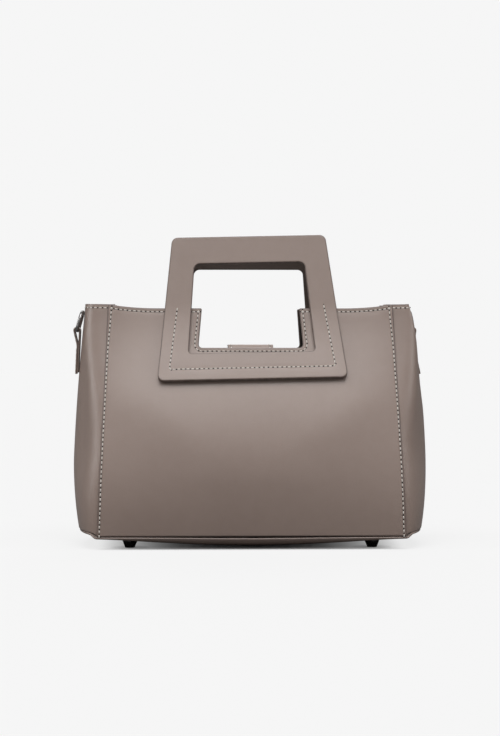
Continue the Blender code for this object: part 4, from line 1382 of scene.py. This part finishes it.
def ringTabPath(side):
    sizes, gap = ringSizes, bagForm["gap"]
    thick, low, high = sizes["tabLeather"], sizes["tabBottom"], sizes["barHeight"]
    bar, radius = ringBarReach(side), sizes["wire"] + gap + thick / 2.0
    waist = high - sizes["taperLength"]

    def against(start, end, offset):
        # Straight runs on the gusset, which stand off more and more towards the bar
        heights = [mix(start, end, share) for share in shares(6)]
        return [Vector((gussetMiddle(side, z) + sizes["standOff"][side] * shareOf(z, low, high) + offset, z))
                for z in heights]

    angles = [math.pi - math.pi * share for share in shares(12)]
    around = [Vector((bar + radius * math.cos(angle), high + radius * math.sin(angle))) for angle in angles]
    return (against(low + thick, waist, gap + thick / 2.0) + around
            + against(waist, low, gap + thick / 2.0 + thick + gap))


def tubePiece(name, loop, radius, sides, finish):
    # Round wire along a closed flat loop of places
    shape = bmesh.new()
    center = sum(loop, Vector()) / len(loop)
    plane = (loop[0] - center).cross(loop[len(loop) // 4] - center).normalized()
    angles = [2.0 * math.pi * side / sides for side in range(sides)]
    rings = []
    for before, place, after in neighbours(loop):
        outward = (after - before).normalized().cross(plane).normalized()
        rings.append([shape.verts.new(place + (outward * math.cos(angle) + plane * math.sin(angle)) * radius)
                      for angle in angles])
    bridge(shape, rings + rings[:1], finishIndex=0)
    return finishClosed(name, shape, (finish,))


def makeRings():
    sizes = ringSizes
    thick = sizes["tabLeather"]
    outline = roundedOutline(trapezium(sizes["halfWidth"], 0.0, sizes["cornerRadius"],
                                       sizes["halfWidth"], sizes["reach"], sizes["archRadius"]),
                             14, sizes["sideStep"])
    for side, outward in (("left", -1.0), ("right", 1.0)):
        turning = Matrix.Rotation(-outward * ringLean(side), 4, "Y")
        origin = Vector((outward * ringBarReach(side), 0.0, sizes["barHeight"]))
        loop = [origin + turning @ Vector((0.0, point.x, point.y)) for point in outline]
        ring = tubePiece(side + "Ring", loop, sizes["wire"], sizes["wireSides"], ringPlating)
        dress(ring, "gunmetal", side + "_ring", side + "_d_ring")

        def place(point, across, outward=outward):
            return Vector((outward * point.x, outward * across, point.y))

        def lay(normal, outward=outward):
            return Vector((-outward * normal.x, 0.0, -normal.y))

        path = smoothPath(ringTabPath(side), sizes["pathStep"])
        normals = pathNormals(path)
        outerPath = [point + normal * (thick / 2.0) for point, normal in zip(path, normals)]
        tab = sheetPiece(side + "RingTab", strapRows(outerPath, normals, sizes["tabHalfWidth"], place, lay),
                         thick, sizes["tabEdge"], (leather, strapEdge, leather))
        dress(tab, "leather", "bag", side + "_ring_tab")
        # The stitches lie on the outer run only
        low, high = sizes["tabBottom"] + sizes["stitchLow"], sizes["barHeight"] - sizes["stitchHigh"]
        outer = (bagForm["gap"] + thick) * 2.0 * sizes["outerShare"]
        edge = sizes["tabHalfWidth"] - sizes["stitchInset"]
        run = [(point + normal * hair, normal) for point, normal in zip(outerPath, normals)
               if low < point.y < high and point.x > gussetMiddle(side, point.y) + outer]
        rows = [[(place(point, across), -lay(normal)) for point, normal in run] for across in (-edge, edge)]
        dress(stitches(side + "RingTabStitches", rows), "leather", "bag")
    print("rings made")


makeRings()


# Feet: turned metal cones that bed into the base

footSizes = {
    "halfSpacing": 0.101,
    "halfTrack": 0.038,
    "topRadius": 0.0065,
    "soleRadius": 0.0042,
    "edge": 0.0006,
    "shankRadius": 0.0015,
    "sides": 56,
}


def footProfile(seat, shankTop):
    # (radius, height) pairs from the sole up to the top of the shank
    sizes = footSizes
    edge, sole, top = sizes["edge"], sizes["soleRadius"], sizes["topRadius"]
    turns = [quarter * share for share in shares(4)]
    rounded = [(sole - edge + edge * math.sin(turn), edge - edge * math.cos(turn)) for turn in turns]
    shoulder = [(top - edge + edge * math.cos(turn), seat - edge + edge * math.sin(turn)) for turn in turns]
    return ([(sole - edge, 0.0)] + rounded + [(mix(sole, top, 0.5), seat / 2.0)] + shoulder
            + [(sizes["shankRadius"], seat), (sizes["shankRadius"], shankTop)])


def makeFoot(end, side, x, y):
    sizes, gap = footSizes, bagForm["gap"]
    name = side + "_" + end + "_foot"
    seat = baseHeightAt(x, y, 0.0) - gap
    angles = [2.0 * math.pi * index / sizes["sides"] for index in range(sizes["sides"])]
    shape = bmesh.new()
    rings = []
    for radius, height in footProfile(seat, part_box(name)[1].z):
        # The shoulder follows the base that it beds into
        beds = seat - sizes["edge"] * 1.5 < height < seat + probe and radius > sizes["shankRadius"] * 2.0
        ring = []
        for angle in angles:
            across, along = radius * math.cos(angle), radius * math.sin(angle)
            follow = baseHeightAt(x + across, y + along, 0.0) - gap - seat if beds else 0.0
            ring.append(shape.verts.new((x + across, y + along, height + follow)))
        rings.append(ring)
    bridge(shape, rings, finishIndex=0)
    shape.faces.new(rings[0][::-1])
    shape.faces.new(rings[-1])
    bmesh.ops.remove_doubles(shape, verts=shape.verts, dist=1e-6)
    foot = finishClosed(side + end.title() + "Foot", shape, (gunmetal,), math.radians(35.0))
    dress(foot, "gunmetal", "bag", name)


def makeFeet():
    for end, x in (("left", -footSizes["halfSpacing"]), ("right", footSizes["halfSpacing"])):
        for side, y in (("front", -footSizes["halfTrack"]), ("back", footSizes["halfTrack"])):
            makeFoot(end, side, x, y)
    print("feet made")


makeFeet()


def dressSolids():
    # The solids that stay as they are: the board, the washers and the magnets
    washers = [side + "_" + end + "_washer" for end in ("left", "right") for side in ("front", "back")]
    kept = [("base_board", boardFibre, "board")]
    kept += [(name, nickel, "steel") for name in washers + ["front_magnet", "tab_magnet"]]
    for name, finish, slotName in kept:
        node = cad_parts[name]
        node.data.materials.clear()
        node.data.materials.append(finish)
        dress(node, slotName)
    print("solids dressed")


dressSolids()


# Studio: camera, lights, backdrop and floor. The lights' angles are in degrees.

studio = {
    "distance": 1.6,
    "azimuth": math.radians(-1.5),
    "cameraHeight": 0.165,
    "aimHeight": 0.1490,
    "aimAcross": 0.00005,
    "lens": 91.65,
    "sensor": 36.0,
    "background": 0.921,
    "skyLight": 0.08,
    "mirrored": 0.18,
    "floorBounce": 0.18,
    "floorSize": 12.0,
    "shadowReach": 0.012,
    "shadowFrom": 0.05,
    "shadowTo": 0.75,
    "shadowKeep": 0.85,
}
studioLights = {
    "topLight": {"power": 2.14, "azimuth": -8.0, "elevation": 65.0, "spread": 48.0},
    "frontLight": {"power": 0.28, "azimuth": 0.0, "elevation": 20.0, "spread": 50.0},
    "leftLight": {"power": 0.78, "azimuth": -84.0, "elevation": 25.0, "spread": 22.0},
    "rightLight": {"power": 0.58, "azimuth": 72.0, "elevation": 30.0, "spread": 22.0},
    "backLight": {"power": 0.9, "azimuth": 176.0, "elevation": 36.0, "spread": 60.0},
}


def makeCamera():
    camera = addObject("camera", bpy.data.cameras.new("camera"))
    camera.data.lens = studio["lens"]
    camera.data.sensor_width = studio["sensor"]
    azimuth, distance = studio["azimuth"], studio["distance"]
    camera.location = (math.sin(azimuth) * distance, -math.cos(azimuth) * distance, studio["cameraHeight"])
    aim = Vector((studio["aimAcross"], 0.0, studio["aimHeight"]))
    camera.rotation_euler = (aim - camera.location).to_track_quat("-Z", "Y").to_euler()
    bpy.context.scene.camera = camera
    bpy.context.scene.view_settings.view_transform = "Standard"


def makeLights():
    for name, light in studioLights.items():
        azimuth, elevation = math.radians(light["azimuth"]), math.radians(light["elevation"])
        sun = addObject(name, bpy.data.lights.new(name, "SUN"))
        sun.data.energy = light["power"]
        sun.data.angle = math.radians(light["spread"])
        flat = math.cos(elevation)
        direction = Vector((-math.sin(azimuth) * flat, math.cos(azimuth) * flat, -math.sin(elevation)))
        sun.rotation_euler = direction.to_track_quat("-Z", "Y").to_euler()


def makeBackdrop():
    world = bpy.data.worlds.new("studio")
    bpy.context.scene.world = world
    world.use_nodes = True
    tree = world.node_tree
    path = tree.nodes.new("ShaderNodeLightPath").outputs
    seen = rangeNode(tree, path["Is Camera Ray"], 0.0, 1.0, studio["skyLight"], studio["background"])
    shiny = rangeNode(tree, path["Is Glossy Ray"], 0.0, 1.0, 0.0, studio["mirrored"])
    strength = addNode(tree, "ShaderNodeMath", {0: seen, 1: shiny}, operation="MAXIMUM")
    feed(tree, tree.nodes["Background"], {"Color": grey(1.0), "Strength": strength})


def makeFloor():
    # Seen by the camera it is as pale as the backdrop and keeps the bag's shadow. It throws back
    # little light.
    shape = bmesh.new()
    bmesh.ops.create_grid(shape, x_segments=1, y_segments=1, size=studio["floorSize"])
    falling = studio["skyLight"]
    for light in studioLights.values():
        falling += light["power"] * math.sin(math.radians(light["elevation"])) / math.pi
    finish = bpy.data.materials.new("floor")
    finish.use_nodes = True
    tree = finish.node_tree
    tree.nodes.remove(tree.nodes["Principled BSDF"])
    lit = addNode(tree, "ShaderNodeBsdfDiffuse", {"Color": grey(studio["background"] / falling)})
    plain = addNode(tree, "ShaderNodeEmission", {"Color": grey(1.0), "Strength": studio["background"]})
    dull = addNode(tree, "ShaderNodeBsdfDiffuse", {"Color": grey(studio["floorBounce"])})
    near = addNode(tree, "ShaderNodeAmbientOcclusion", {"Distance": studio["shadowReach"]}, "AO")
    unshaded = rangeNode(tree, near, studio["shadowFrom"], studio["shadowTo"], 0.0, studio["shadowKeep"])
    seen = addNode(tree, "ShaderNodeMixShader", {"Fac": unshaded, 1: lit, 2: plain})
    camera = addNode(tree, "ShaderNodeLightPath", result="Is Camera Ray")
    shown = addNode(tree, "ShaderNodeMixShader", {"Fac": camera, 1: dull, 2: seen})
    feed(tree, tree.nodes["Material Output"], {"Surface": shown})
    finishMesh("floor", shape, (finish,))


makeCamera()
makeLights()
makeBackdrop()
makeFloor()
print("studio made")
